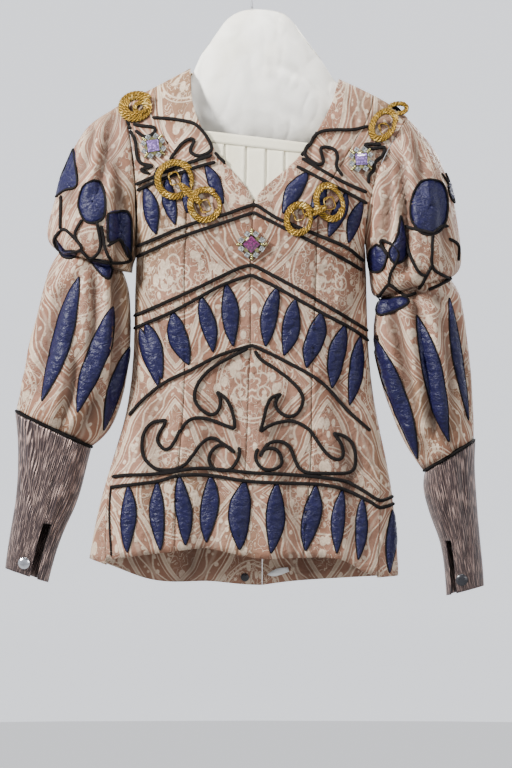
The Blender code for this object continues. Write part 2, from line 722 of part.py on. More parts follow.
def leafed_cord(name, path, leaves, place=lifted):
    """A cord with leaves whose tops grow out of its lower side: one body."""
    smooth = spline(path, CORD_STEP / 4)
    roots = []
    for leaf in leaves:
        nearest = min(range(len(smooth)), key=lambda i: abs(smooth[i][0] - leaf.top_x))
        roots.append(nearest)
    stations, marks = [], {}
    spread = max(1, round(LEAF_ROOT / 2 / (CORD_STEP / 4)))
    wanted = {i for i, spot in enumerate(smooth) if i % (4 if abs(spot[0]) < SIDE_LIFT_START else 2) == 0} | {len(smooth) - 1}
    for root in roots:
        wanted = {i for i in wanted if abs(i - root) > spread + 1}
    for root in roots:
        wanted |= {root - spread, root + spread}
    ordered = sorted(i for i in wanted if 0 <= i < len(smooth))
    for i in ordered:
        stations.append(smooth[i])
    for number, root in enumerate(roots):
        marks[ordered.index(root - spread)] = number
    rings = strip_rings(stations, CORD_WIDTH, CORD_HEIGHT, TRIM_LIFT, place)
    points = [p for ring in rings for p in ring]
    faces = []
    for r in range(len(rings) - 1):
        for c in range(4):
            d = (c + 1) % 4
            if c == 0 and r in marks:
                continue
            faces.append([r * 4 + c, r * 4 + d, r * 4 + 4 + d, r * 4 + 4 + c])
    faces.append([0, 1, 2, 3])
    faces.append([len(points) - 1, len(points) - 2, len(points) - 3, len(points) - 4])
    for r, number in marks.items():
        leaf = leaves[number]
        previous = [r * 4, r * 4 + 1, r * 4 + 5, r * 4 + 4]
        middle = [(a + b) / 2 for a, b in zip(stations[r], stations[r + 1])]
        axis = Vector((leaf.tip_x - middle[0], leaf.tip_z - middle[1]))
        start = Vector(middle) + axis.normalized() * CORD_WIDTH / 2
        axis = Vector((leaf.tip_x, leaf.tip_z)) - start
        across = Vector((axis.y, -axis.x)).normalized()
        for share, wide in LEAF_SHAPE:
            spot = start + axis * share
            half = leaf.width / 2 * wide
            rise = LEAF_HEIGHT * (1.0 if share < 0.9 else 0.6)
            first = len(points)
            for reach, height in LEAF_SECTION:
                where = spot + across * half * reach
                points.append(place(where.x, where.y, TRIM_LIFT + height * rise))
            now = list(range(first, first + 6))
            if len(previous) == 4:
                base = previous
                faces.append([base[0], base[1], now[1], now[0]])
                faces.append([base[1], base[2], now[3], now[2], now[1]])
                faces.append([base[2], base[3], now[4], now[3]])
                faces.append([base[3], base[0], now[0], now[5], now[4]])
            else:
                for c in range(6):
                    d = (c + 1) % 6
                    faces.append([previous[c], previous[d], now[d], now[c]])
            previous = now
        faces.append(previous)
    return add_object(name, points, faces, "navy")


def add_front_trims():
    for side, word in ((LEFT, "left"), (RIGHT, "right")):
        cord("yoke_cord_" + word, YOKE_UPPER[side])
        leafed_cord("yoke_leaves_" + word, YOKE_LEAFED[side], YOKE_LEAVES[side])
        scroll("belly_scroll_" + word, SCROLLS[side])
    cord("chest_cord_upper", CHEST_UPPER)
    cord("chest_cord_lower", CHEST_LOWER)
    cord("waist_cord", WAIST_UPPER)
    leafed_cord("waist_leaves", WAIST_LEAFED, WAIST_LEAVES)
    cord("belly_arc_cord", BELLY_ARC)
    cord("hem_cord", HEM_UPPER)
    leafed_cord("hem_leaves", HEM_LEAFED, HEM_LEAVES)


def loop_points(knot):
    """Centre line of the knot's rope in its own plane: across, up, out."""
    count = 16 if knot.lobes == 1 else 24
    line = []
    for k in range(count):
        turn = 2 * math.pi * k / count
        if knot.lobes == 1:
            across, up, out = knot.wide * math.cos(turn), knot.high * math.sin(turn), 0.0
        else:
            across, up = knot.wide * math.cos(turn), knot.high * math.sin(2 * turn)
            out = ROPE_RADIUS * 1.3 * (1 + math.sin(turn)) if abs(math.cos(turn)) < 0.75 else ROPE_RADIUS * 1.3
        line.append(Vector((across, up, out)))
    return line


def rope_loop(knot):
    centre, normal = front_at(knot.x, knot.z)
    right = Vector((1, 0, 0)) - normal * normal.x
    right.normalize()
    up = normal.cross(right)
    if up.z < 0:
        up = -up
    tilt = math.radians(knot.tilt)
    axis_a = right * math.cos(tilt) + up * math.sin(tilt)
    axis_b = up * math.cos(tilt) - right * math.sin(tilt)
    base = centre + normal * (knot.lift + ROPE_RADIUS)
    line = [base + axis_a * p.x + axis_b * p.y + normal * p.z for p in loop_points(knot)]
    rings = []
    for i, here in enumerate(line):
        along_rope = (line[(i + 1) % len(line)] - line[i - 1]).normalized()
        out = (normal - along_rope * normal.dot(along_rope)).normalized()
        side = along_rope.cross(out)
        ring = []
        for k in range(ROPE_SIDES):
            turn = 2 * math.pi * k / ROPE_SIDES
            ring.append(here + out * math.cos(turn) * ROPE_RADIUS + side * math.sin(turn) * ROPE_RADIUS)
        rings.append(ring)
    return ring_body(knot.name, rings, "gold", closed=True)


def disc(name, centre, normal, profile, sides, slot, turn=0.0):
    """A turned body on a surface: the profile gives radius and height."""
    first = normal.orthogonal().normalized()
    if abs(normal.z) < 0.95:
        first = (Vector((0, 0, 1)) - normal * normal.z).normalized()
    second = normal.cross(first)
    rings = []
    for radius, height in profile:
        ring = []
        for k in range(sides):
            angle = turn + 2 * math.pi * k / sides
            ring.append(centre + normal * height + first * radius * math.cos(angle) + second * radius * math.sin(angle))
        rings.append(ring)
    return ring_body(name, rings, slot)


def add_knots_and_jewels():
    for knot in KNOTS:
        rope_loop(knot)
    for jewel in JEWELS:
        centre, normal = front_at(jewel.x, jewel.z)
        size = jewel.size
        profile = ((size * 0.9, TRIM_LIFT + 1.2), (size, TRIM_LIFT + 3), (size * 0.5, TRIM_LIFT + JEWEL_HEIGHT))
        disc(jewel.name, centre, normal, profile, 4, "jewel", math.radians(45 + jewel.turn))


# Sleeves


def ring_mix(rings, where):
    where = max(0.0, min(len(rings) - 1.0, where))
    low = min(int(where), len(rings) - 2)
    return Ring(*[lerp(a, b, where - low) for a, b in zip(rings[low], rings[low + 1])])


def sleeve_point(side, rings, gathers, where, angle, seam_shift):
    ring = ring_mix(rings, where)
    cosine, sine = math.cos(angle), math.sin(angle)
    x = lerp(ring.in_x, ring.out_x, (1 + cosine) / 2) - side * seam_shift(where) * sine * sine
    z = lerp(ring.in_z, ring.out_z, (1 + cosine) / 2)
    y = -ring.depth * sine
    point = Vector((x, y, z))
    depth = 0.0
    for gather in gathers:
        apart = (math.degrees(angle) - gather.degrees + 180) % 360 - 180
        depth += gather.depth * math.exp(-(apart / GATHER_WIDTH_DEGREES) ** 2)
    centre = Vector(((ring.in_x + ring.out_x) / 2, 0, (ring.in_z + ring.out_z) / 2))
    inward = centre - point
    inward.normalize()
    fade = smooth_step(0.8 * (1 + cosine))
    return point + inward * depth * ring.gather * fade


def sleeve_grid(side, rings, gathers, columns, wall, seam_shift, rise=None):
    outer, inner = [], []
    surface = lambda where, angle: sleeve_point(side, rings, gathers, where, angle, seam_shift)
    last = len(rings) - 1
    for r in range(len(rings)):
        outer_row, inner_row = [], []
        for c in range(columns):
            angle = 2 * math.pi * c / columns
            ring = rings[r]
            centre = Vector(((ring.in_x + ring.out_x) / 2, 0, (ring.in_z + ring.out_z) / 2))
            point = surface(r, angle)
            outward = point - centre
            steps = (0.15 if r > 0 else 0.0, 0.15 if r < last else 0.0)
            _, normal = normal_of(surface, r, angle, steps, (0.12, 0.12), -side)
            if r == 0:
                normal = outward.normalized()
            lift = rise(r, math.degrees(angle)) if rise else 0.0
            outer_row.append(point + normal * lift)
            inner_row.append(point - normal * wall)
        outer.append(outer_row)
        inner.append(inner_row)
    return outer, inner


def leaf_rise(row, degrees):
    if row in (0, 1, 5, 6):
        return 0.0
    return LOWER_LEAF_RISE if min(abs(degrees - d) for d in LOWER_LEAF_DEGREES) < 1 else 0.0


def add_sleeves():
    for side, word in ((LEFT, "left"), (RIGHT, "right")):
        hole = ARMHOLE[side]
        first = Ring(hole.out_x + side * SLEEVE_SEAM_GAP, hole.out_z, hole.in_x + side * SLEEVE_SEAM_GAP, hole.in_z, hole.depth, 0)
        rings = (first,) + UPPER_PUFF[side]
        shift = lambda where, hole=hole: hole.gather * max(0.0, 1 - where / 2)
        outer, inner = sleeve_grid(side, rings, UPPER_GATHERS, SLEEVE_COLUMNS, PUFF_WALL, shift)
        wall_body("upper_puff_" + word, outer, inner, "brocade", closed=True)
        none = lambda where: 0.0
        outer, inner = sleeve_grid(side, LOWER_PUFF[side], LOWER_GATHERS, SLEEVE_COLUMNS, PUFF_WALL, none, leaf_rise)
        wall_body("lower_puff_" + word, outer, inner, "brocade", closed=True)
        end = LOWER_PUFF[side][-1]
        chord = Vector((end.in_x - end.out_x, 0, end.in_z - end.out_z)).normalized()
        down = Vector((chord.z, 0, -chord.x))
        if down.z > 0:
            down = -down
        rings = []
        for c in range(SLEEVE_COLUMNS):
            angle = 2 * math.pi * c / SLEEVE_COLUMNS
            centre = Vector(((end.in_x + end.out_x) / 2, 0, (end.in_z + end.out_z) / 2))
            spot = sleeve_point(side, LOWER_PUFF[side], (), 6, angle, none)
            out = (spot - centre).normalized()
            spot = spot + down * PIPING_STEP - out * PUFF_WALL / 2
            ring = []
            for k in range(5):
                turn = 2 * math.pi * k / 5
                ring.append(spot + out * math.cos(turn) * PIPING_RADIUS + down * math.sin(turn) * PIPING_RADIUS)
            rings.append(ring)
        ring_body("cuff_piping_" + word, rings, "cord", closed=True)
        start = Ring(end.out_x + down.x * 2 * PIPING_STEP, end.out_z + down.z * 2 * PIPING_STEP,
                     end.in_x + down.x * 2 * PIPING_STEP, end.in_z + down.z * 2 * PIPING_STEP, 37, 0)
        rings = (start,) + CUFF[side]
        outer, inner = sleeve_grid(side, rings, (), CUFF_COLUMNS, CUFF_WALL, none)
        last = len(rings) - 2
        cut = [(last - k, CUFF_SLIT_COLUMN[side]) for k in range(CUFF_SLIT_ROWS)]
        wall_body("cuff_" + word, outer, inner, "lame", closed=True, cut=cut)
        add_button(side, word, rings)


def add_button(side, word, rings):
    where = len(rings) - 1.5
    angle = 2 * math.pi * (CUFF_SLIT_COLUMN[side] - 1.0) / CUFF_COLUMNS
    surface = lambda a, b: sleeve_point(side, rings, (), a, b, lambda w: 0.0)
    point, normal = normal_of(surface, where, angle, (0.2, 0.2), (0.1, 0.1), -side)
    profile = ((BUTTON_RADIUS * 0.8, 0.7), (BUTTON_RADIUS, 2.0), (BUTTON_RADIUS * 0.6, BUTTON_HEIGHT))
    disc("cuff_button_" + word, point, normal, profile, 10, "silver" if side == LEFT else "black")


# Neck front, hanger, inside of the back hem


def add_vestee():
    (left_x, left_z), (right_x, right_z) = VESTEE_TOP
    top_line = lambda x: lerp(left_z, right_z, (x - left_x) / (right_x - left_x))
    neck = [(x, z) for x, z in reversed(NECK_LEFT)] + [(x, z) for x, z in NECK_RIGHT[1:]]

    def bottom(x):
        best = -336.0 - 14.0
        for (xa, za), (xb, zb) in zip(neck, neck[1:]):
            if min(xa, xb) <= x <= max(xa, xb) and abs(xb - xa) > 1:
                best = lerp(za, zb, (x - xa) / (xb - xa)) - 14.0
        return min(best, top_line(x) - VESTEE_BAND_DROP - 8.0)

    lines = []
    edges = [left_x] + [x for x in PLEAT_LINES if left_x + 8 < x < right_x - 8] + [right_x]
    for i, (a, b) in enumerate(zip(edges, edges[1:])):
        lines.append((a + (0.5 if i else 0.0), 0.0))
        lines.append(((a + b) / 2, 0.5))
        lines.append((b - (0.5 if i < len(edges) - 2 else 0.0), 1.0))
    outer, inner = [], []
    for share in (0.0, 0.25, 0.5, 0.75, 1.0):
        outer_row, inner_row = [], []
        for x, rise in lines:
            z = lerp(top_line(x) - VESTEE_BAND_DROP - 0.5, bottom(x), share)
            point, normal = front_at(x, z)
            outer_row.append(point - normal * (PANEL_WALL + VESTEE_SETBACK - rise * PLEAT_RISE))
            inner_row.append(point - normal * (PANEL_WALL + VESTEE_SETBACK + VESTEE_WALL))
        outer.append(outer_row)
        inner.append(inner_row)
    wall_body("vestee_pleats", outer, inner, "cream")
    outer, inner = [], []
    for share in (0.0, 1.0):
        outer_row, inner_row = [], []
        for k in range(13):
            x = lerp(left_x, right_x, k / 12)
            z = top_line(x) - VESTEE_BAND_DROP * share
            point, normal = front_at(x, z)
            outer_row.append(point - normal * (PANEL_WALL + VESTEE_SETBACK - PLEAT_RISE))
            inner_row.append(point - normal * (PANEL_WALL + VESTEE_SETBACK + VESTEE_WALL))
        outer.append(outer_row)
        inner.append(inner_row)
    wall_body("vestee_band", outer, inner, "cream")


def add_hanger():
    rings = []
    for pad in PAD_RINGS:
        centre, half = (pad.top + pad.bottom) / 2, (pad.top - pad.bottom) / 2
        ring = []
        for k in range(PAD_SIDES):
            turn = 2 * math.pi * k / PAD_SIDES
            ring.append(Vector((pad.x, pad.depth * math.sin(turn), centre + half * math.cos(turn))))
        rings.append(ring)
    ring_body("hanger_pad", rings, "calico")
    line = [Vector((0, 0, PAD_APEX_Z + STEM_CLEARANCE)), Vector((0, 0, PAD_APEX_Z + STEM_STRAIGHT))]
    loop_centre = Vector((0, 0, -HOOK_RADIUS + WIRE_RADIUS))
    for degrees in range(-90, 151, 20):
        angle = math.radians(degrees)
        line.append(loop_centre + Vector((HOOK_RADIUS * math.cos(angle), 0, HOOK_RADIUS * math.sin(angle))))
    rings = []
    for i, here in enumerate(line):
        tangent = (line[min(i + 1, len(line) - 1)] - line[max(i - 1, 0)]).normalized()
        side = Vector((0, 1, 0))
        out = tangent.cross(side)
        ring = []
        for k in range(6):
            turn = 2 * math.pi * k / 6
            ring.append(here + out * math.cos(turn) * WIRE_RADIUS + side * math.sin(turn) * WIRE_RADIUS)
        rings.append(ring)
    ring_body("hook_wire", rings, "wire")


def inside_back(x, z, depth):
    """Point on the inside of the back panels, moved in by depth."""
    side = LEFT if x < along(CENTRE_BACK, z) else RIGHT
    low, high = 0.0, 0.6
    for _ in range(24):
        middle = (low + high) / 2
        if (back_surface(side, middle, z).x - x) * side > 0:
            high = middle
        else:
            low = middle
    point, normal = normal_of(lambda a, b: back_surface(side, a, b), low, z, (0.0, 0.02), (3.0, 3.0), -side)
    return point - normal * (PANEL_WALL + depth), -normal


def add_back_fittings():
    centre, normal = inside_back(POPPER[0], POPPER[1], 0.0)
    disc("back_popper", centre, normal, ((POPPER_RADIUS, 0.7), (POPPER_RADIUS, 1.9), (POPPER_RADIUS * 0.5, 3.0)), 8, "black")
    low = [inside_back(x, z, 1.0)[0] for x, z in TAPE]
    high = [inside_back(x, z, 2.2)[0] for x, z in TAPE]
    ring_body("back_tape", [low, high], "tape")


def main():
    for obj in list(bpy.data.objects):
        bpy.data.objects.remove(obj, do_unlink=True)
    add_panels()
    build_front_tree()
    add_sleeves()
    add_front_trims()
    add_knots_and_jewels()
    add_vestee()
    add_hanger()
    add_back_fittings()


main()
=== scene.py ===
"""Looks of a brocade stage doublet with puffed sleeves, hanging on a padded hanger.

Places across the garment are millimetres in the garment's own front view: x from the hook to
the viewer's right, z down from the hook's bearing point.
"""

import math

import bmesh
import bpy
import numpy as np
from bpy.props import FloatProperty, FloatVectorProperty, PointerProperty
from mathutils import Matrix, Vector, noise
from mathutils.bvhtree import BVHTree


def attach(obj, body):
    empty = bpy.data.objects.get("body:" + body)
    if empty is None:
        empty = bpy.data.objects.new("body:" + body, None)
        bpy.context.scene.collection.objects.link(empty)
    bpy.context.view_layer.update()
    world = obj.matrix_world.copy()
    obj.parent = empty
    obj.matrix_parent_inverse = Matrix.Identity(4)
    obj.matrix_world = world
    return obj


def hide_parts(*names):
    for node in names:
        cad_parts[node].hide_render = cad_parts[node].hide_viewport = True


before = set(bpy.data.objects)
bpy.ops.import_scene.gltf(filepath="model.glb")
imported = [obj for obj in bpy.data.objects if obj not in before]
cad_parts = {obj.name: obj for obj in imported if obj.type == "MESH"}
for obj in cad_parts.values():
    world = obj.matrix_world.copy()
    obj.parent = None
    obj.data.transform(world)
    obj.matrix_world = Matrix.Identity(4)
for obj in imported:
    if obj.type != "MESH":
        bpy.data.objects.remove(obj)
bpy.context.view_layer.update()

bl_info = {
    "name": "Stage Doublet Looks",
    "version": (1, 0, 0),
    "blender": (4, 5, 0),
    "location": "3D View > Sidebar > Doublet",
    "description": "Builds the cloth, trims and stage of a brocade doublet on a padded hanger",
    "category": "Object",
}

MM = 0.001
BODY = "root"

# Cloth made from the solids: slot, subdivision levels, cut width, cut length and cut area in metres
CLOTH = {
    "front_centre_left": ("brocade", 2, 0.150, 0.670, 0.0565),
    "front_centre_right": ("brocade", 2, 0.150, 0.670, 0.0565),
    "front_side_left": ("brocade", 2, 0.160, 0.660, 0.0555),
    "front_side_right": ("brocade", 2, 0.160, 0.665, 0.0560),
    "back_left": ("brocade", 2, 0.300, 0.715, 0.1510),
    "back_right": ("brocade", 2, 0.280, 0.700, 0.1330),
    "upper_puff_left": ("brocade", 2, 0.450, 0.200, 0.0665),
    "upper_puff_right": ("brocade", 2, 0.460, 0.220, 0.0755),
    "lower_puff_left": ("brocade", 2, 0.420, 0.250, 0.0930),
    "lower_puff_right": ("brocade", 2, 0.420, 0.250, 0.0875),
    "cuff_left": ("lame", 3, 0.240, 0.220, 0.0420),
    "cuff_right": ("lame", 3, 0.220, 0.205, 0.0325),
    "vestee_band": ("cream", 2, 0.178, 0.030, 0.0032),
    "vestee_pleats": ("cream", 2, 0.190, 0.087, 0.0073),
}
# Edges that turn by more stay sharp
SHARP_DEGREES = 55

# A painted shade on the cloth that darkens it in the folds, full at this depth in metres
FOLD_SHADE = "fold"
FOLD_SHADE_DEPTH = 0.0070

# Hanging folds: start x z, end x z, half width, depth inward, all in millimetres
FRONT_FOLDS = (
    (-168, -450, -120, -560, 16, 4.0), (-60, -640, -75, -830, 22, 5.0), (40, -650, 55, -835, 24, 5.0),
    (110, -600, 140, -840, 20, 5.0), (-140, -650, -150, -830, 18, 4.0), (-10, -700, -5, -830, 18, 3.0),
    (150, -430, 120, -520, 14, 3.5), (-105, -330, -135, -400, 12, 2.5), (90, -700, 95, -840, 14, 3.0),
)
BACK_FOLDS = (
    (-110, -300, -140, -560, 20, 4.5), (95, -320, 130, -600, 20, 4.5), (-70, -620, -90, -860, 24, 5.5),
    (60, -600, 70, -860, 26, 5.5), (-10, -260, 10, -420, 24, 3.5), (140, -640, 160, -850, 18, 4.0),
    (-160, -640, -170, -850, 18, 4.0), (-50, -400, 40, -450, 16, 2.5),
)
SLEEVE_FOLDS = (
    (-196, -230, -212, -330, 9, 9.0), (-222, -236, -232, -300, 8, 6.0), (-184, -300, -186, -420, 8, 7.0),
    (-250, -270, -262, -350, 10, 4.5), (-186, -445, -190, -610, 9, 9.0), (-214, -450, -222, -560, 9, 5.5),
    (-262, -470, -300, -600, 10, 5.0), (-240, -560, -262, -650, 9, 5.0), (-290, -500, -305, -570, 9, 4.0),
    (-205, -600, -240, -660, 8, 4.5), (-230, -440, -262, -470, 8, 4.0),
    (204, -300, 206, -430, 8, 11.0), (188, -300, 180, -400, 7, 8.0), (226, -262, 230, -330, 9, 5.0),
    (256, -330, 262, -420, 9, 4.0), (186, -480, 208, -640, 8, 6.0), (222, -480, 246, -660, 9, 7.0),
    (262, -500, 276, -640, 9, 6.0), (284, -520, 296, -640, 8, 4.5), (196, -520, 232, -690, 8, 5.0),
    (220, -470, 268, -488, 8, 5.0), (240, -640, 280, -690, 9, 4.0),
)
CUFF_FOLDS = (
    (-304, -650, -296, -740, 5, 2.6), (-270, -690, -282, -790, 5, 2.4), (-318, -700, -300, -790, 4, 2.0),
    (-262, -760, -288, -830, 5, 2.6), (-310, -790, -322, -860, 5, 2.0),
    (262, -690, 270, -800, 5, 2.4), (288, -700, 290, -790, 5, 2.6), (300, -780, 290, -870, 5, 2.2),
    (276, -800, 282, -870, 4, 1.8),
)
PAD_FOLDS = (
    (30, -90, 84, -134, 7, 4.0), (4, -120, 30, -158, 6, 3.0), (30, -158, 66, -172, 6, 3.0),
    (66, -172, 108, -214, 6, 4.0), (-60, -130, -74, -180, 9, 2.5), (-20, -100, 10, -210, 12, 1.5),
    (50, -220, 80, -250, 8, 2.5), (-70, -210, -30, -240, 9, 2.0),
)
# Depth of the small wrinkles by cloth, and how much deeper the sleeves fold than their table says
WRINKLE = {"brocade": 2.6, "lame": 1.0, "cream": 0.25, "calico": 2.0}
SLEEVE_FOLD_DEPTH = 1.5
WRINKLE_SIZE = 0.030
PLEAT_FOLDS = tuple((x, -262, x - 2, -345, 1.5, 2.6) for x in (-65, -37, -8, 19.5, 45, 72))

# Slanted axes of the arms: x at a height, and how x grows with height; then the cloth's turn radius
LEANS = {
    "upper_puff_left": (-214, -330, 0.20), "upper_puff_right": (222, -360, -0.20),
    "lower_puff_left": (-244, -550, 0.20), "lower_puff_right": (240, -580, -0.16),
    "cuff_left": (-287, -760, 0.30), "cuff_right": (281, -790, -0.20),
}
ARM_ROUND = {"upper": 0.082, "lower": 0.066, "cuff_": 0.042}

# Cord routes on the front: x and z
CORDS = {
    "yoke_cord_left": ([(-159, -323), (-132, -312), (-91, -296), (-55, -284)],),
    "yoke_cord_right": ([(68, -288), (109, -312), (131, -323), (157, -334)],),
    "chest_cord_upper": ([(-157, -407), (-128, -396), (-86, -379), (-40, -366), (-3, -353), (3, -352),
                          (9, -354), (34, -370), (82, -390), (128, -409), (152, -427)],),
    "chest_cord_lower": ([(-157, -421), (-128, -409), (-96, -395), (-47, -379), (-3, -364), (3, -363),
                          (9, -366), (41, -382), (91, -407), (128, -427), (150, -440)],),
    "waist_cord": ([(-161, -503), (-121, -486), (-72, -464), (-22, -440), (-5, -435), (0, -434),
                    (5, -436), (34, -451), (83, -478), (132, -507), (158, -523)],),
    "belly_arc_cord": ([(-168, -640), (-150, -619), (-120, -595), (-83, -577), (-44, -557), (-5, -545),
                        (0, -544), (6, -546), (47, -566), (94, -594), (131, -633), (162, -661)],),
    "hem_cord": ([(-194, -725), (-172, -722), (-144, -721), (-115, -718), (-70, -712), (-1, -718),
                  (69, -722), (123, -729), (146, -739), (168, -753)],),
    "belly_scroll_left": (
        [(-6, -548), (-24, -557), (-48, -570), (-65, -584), (-75, -598), (-79, -614), (-74, -627),
         (-62, -637), (-51, -638), (-44, -629), (-43, -617), (-48, -607)],
        [(-48, -607), (-37, -615), (-29, -629), (-24, -646), (-24, -658)],
        [(-24, -658), (-37, -653), (-55, -646), (-72, -643), (-86, -646), (-98, -660), (-105, -674),
         (-112, -684), (-120, -686), (-129, -676), (-127, -665), (-121, -655), (-117, -646)],
        [(-117, -646), (-137, -650), (-148, -664), (-151, -681), (-148, -698), (-137, -710), (-127, -714),
         (-110, -714), (-93, -708), (-82, -695), (-72, -681), (-61, -672), (-51, -671), (-41, -677),
         (-30, -686), (-24, -691)],
        [(-24, -691), (-32, -683), (-42, -680), (-53, -686), (-59, -698), (-55, -710), (-42, -715),
         (-30, -714), (-22, -705), (-17, -693), (-18, -683)],
    ),
    "belly_scroll_right": (
        [(4, -551), (11, -562), (32, -576), (52, -591), (65, -605), (70, -619), (63, -636), (51, -641),
         (39, -636), (32, -626), (35, -615), (40, -610)],
        [(40, -610), (27, -615), (20, -627), (16, -643), (11, -662)],
        [(11, -662), (25, -653), (42, -648), (59, -648), (77, -658), (87, -671), (97, -686), (109, -698),
         (121, -700), (125, -691), (121, -677), (111, -664)],
        [(111, -664), (128, -669), (139, -681), (142, -698), (140, -713), (128, -719), (101, -719),
         (77, -718), (65, -712), (59, -700), (52, -684), (42, -676), (28, -676), (18, -683), (11, -696)],
        [(11, -696), (18, -686), (32, -686), (40, -698), (39, -708), (28, -714), (16, -713), (8, -706),
         (5, -695), (8, -685)],
    ),
}

# The cords that leaves hang from
LEAFED_CORDS = {
    "yoke_leaves_left": ([(-157, -331), (-132, -320), (-78, -301), (-50, -293)],),
    "yoke_leaves_right": ([(61, -299), (109, -324), (131, -335), (157, -349)],),
    "waist_leaves": ([(-161, -520), (-108, -497), (-72, -478), (-40, -461), (-6, -449), (-1, -448),
                      (5, -450), (38, -467), (95, -499), (137, -521), (159, -537)],),
    "hem_leaves": ([(-196, -739), (-150, -733), (-128, -730), (-99, -722), (-57, -722), (-12, -729),
                    (30, -732), (99, -735), (135, -745), (168, -762)],),
}
# Navy leaves: top x z, tip x z, width
LEAVES = {
    "yoke_leaves_left": ((-147, -326, -130, -391, 21), (-118, -315, -106, -379, 19),
                         (-91, -305, -89, -363, 15), (-64, -297, -38, -350, 17)),
    "yoke_leaves_right": ((75, -306, 41, -363, 22), (101, -320, 79, -375, 19),
                          (129, -334, 106, -396, 19), (150, -345, 131, -403, 17)),
    "waist_leaves": ((-152, -520, -128, -600, 20), (-146, -513, -122, -589, 23),
                     (-110, -498, -88, -571, 26), (-68, -476, -53, -553, 21), (-36, -459, -24, -545, 23),
                     (33, -464, 17, -545, 23), (61, -481, 44, -558, 24), (94, -498, 76, -575, 26),
                     (126, -515, 108, -602, 24), (150, -531, 134, -626, 20)),
    "hem_leaves": ((-170, -736, -170, -828, 21), (-131, -730, -127, -825, 20), (-98, -722, -91, -818, 22),
                   (-57, -722, -61, -814, 25), (-12, -729, -19, -824, 30), (36, -732, 26, -829, 25),
                   (87, -735, 75, -826, 25), (123, -741, 115, -829, 18), (153, -753, 146, -838, 17)),
}
# Leaves of the lower sleeves, in the same columns
SLEEVE_LEAVES = (
    (-235, -450, -288, -620, 27), (-192, -490, -238, -636, 29), (-170, -545, -206, -660, 18),
    (170, -530, 229, -700, 24), (225, -502, 272, -676, 27), (270, -478, 297, -647, 14),
)

# Yoke cords that scroll between the neck and the shoulder
YOKE_SCROLLS = (
    [(-137, -231), (-123, -232), (-104, -234), (-81, -239), (-69, -249), (-59, -263), (-55, -275),
     (-61, -281), (-72, -285), (-83, -281), (-84, -274), (-79, -264), (-84, -261), (-95, -267),
     (-104, -278), (-112, -290)],
    [(-163, -240), (-155, -242), (-134, -245), (-134, -252), (-146, -258), (-160, -249)],
    [(-167, -249), (-160, -264), (-157, -286), (-150, -295), (-136, -298), (-152, -303), (-140, -308)],
    [(-51, -280), (-44, -288), (-36, -294)],
    [(159, -243), (137, -248), (117, -248), (98, -250), (87, -256), (76, -270), (72, -281), (77, -289),
     (90, -296), (98, -294), (95, -283), (94, -274), (101, -272), (113, -276), (117, -286), (115, -299),
     (124, -312)],
    [(177, -268), (155, -268), (163, -274), (182, -272), (179, -283), (168, -294), (167, -304),
     (160, -311), (160, -322)],
    [(63, -286), (75, -260), (86, -250)],
)
# Cord net of the puffs
PUFF_CORDS = (
    [(-262, -338), (-262, -384)],
    [(-262, -387), (-255, -385), (-233, -409), (-240, -415), (-264, -412), (-271, -398), (-262, -387)],
    [(-232, -372), (-242, -392), (-234, -408)],
    [(-212, -376), (-207, -410), (-221, -424), (-235, -412)],
    [(-206, -380), (-200, -412), (-193, -428)],
    [(-197, -408), (-181, -399), (-168, -426), (-195, -430), (-221, -424)],
    [(209, -380), (226, -386), (248, -391)],
    [(248, -390), (257, -381), (269, -380)],
    [(247, -392), (246, -412), (248, -439), (275, -452)],
    [(211, -397), (219, -426), (229, -445), (239, -448)],
    [(246, -434), (229, -466)],
    [(270, -397), (283, -406), (283, -427)],
    [(275, -452), (253, -463), (242, -467)],
    [(170, -481), (178, -471), (188, -460), (199, -467), (211, -477), (226, -471)],
    [(186, -420), (176, -400), (190, -405), (199, -420), (190, -446), (188, -460)],
)
# Half width and step of the cords
CORD_HALF = 2.5
CORD_STEP = 2.2

# Navy satin let into the upper puffs: outlines, x and z
INLAYS = (
    [(-246, -272), (-258, -300), (-268, -320), (-271, -338), (-256, -330), (-240, -326), (-240, -306)],
    [(-218, -318), (-206, -322), (-200, -345), (-202, -368), (-213, -376), (-228, -374), (-237, -352),
     (-231, -328)],
    [(-197, -364), (-170, -361), (-166, -395), (-170, -422), (-182, -399), (-196, -402)],
    [(-223, -426), (-195, -430), (-196, -452), (-206, -447)],
    [(-268, -398), (-260, -412), (-240, -415), (-246, -424), (-262, -420)],
    [(243, -316), (260, -320), (268, -342), (266, -372), (253, -390), (232, -391), (219, -372),
     (219, -344), (228, -322)],
    [(270, -304), (281, -345), (271, -336)],
    [(203, -366), (210, -394), (213, -421), (196, -432), (188, -418), (198, -394)],
    [(171, -404), (186, -418), (178, -441), (164, -440), (162, -416)],
    [(172, -481), (210, -478), (211, -489), (176, -502)],
)

# Gold rope: loops of centre x z, half width, half height, tilt degrees, turns and lift
KNOTS = {
    "gold_knot_shoulder_left": ((-159, -218, 26, 25, 0, 2.7, 7.0), (-153, -219, 10, 10, 30, 1.0, 9.0)),
    "gold_knot_chest_left": ((-105, -318, 29, 29, 0, 1.8, 4.0), (-64, -353, 25, 26, 20, 1.8, 4.5),
                             (-84, -337, 20, 5, -42, 1.0, 6.0)),
    "gold_knot_shoulder_right": ((180, -243, 19, 28, -28, 1.9, 6.0), (200, -218, 16, 10, 10, 1.3, 8.0)),
    "gold_knot_chest_right": ((106, -349, 22, 29, 22, 1.8, 4.5), (64, -372, 21, 25, -10, 1.8, 4.0),
                              (87, -361, 16, 5, 22, 1.0, 6.0)),
}
# Wire coils in the knots: centre x z, half width, half thickness
COILS = ((-153, -219, 7, 1.1), (-106, -316, 9, 1.0), (-64, -354, 9, 1.0), (181, -247, 8, 1.0),
         (106, -350, 9, 1.0), (64, -365, 9, 1.0))

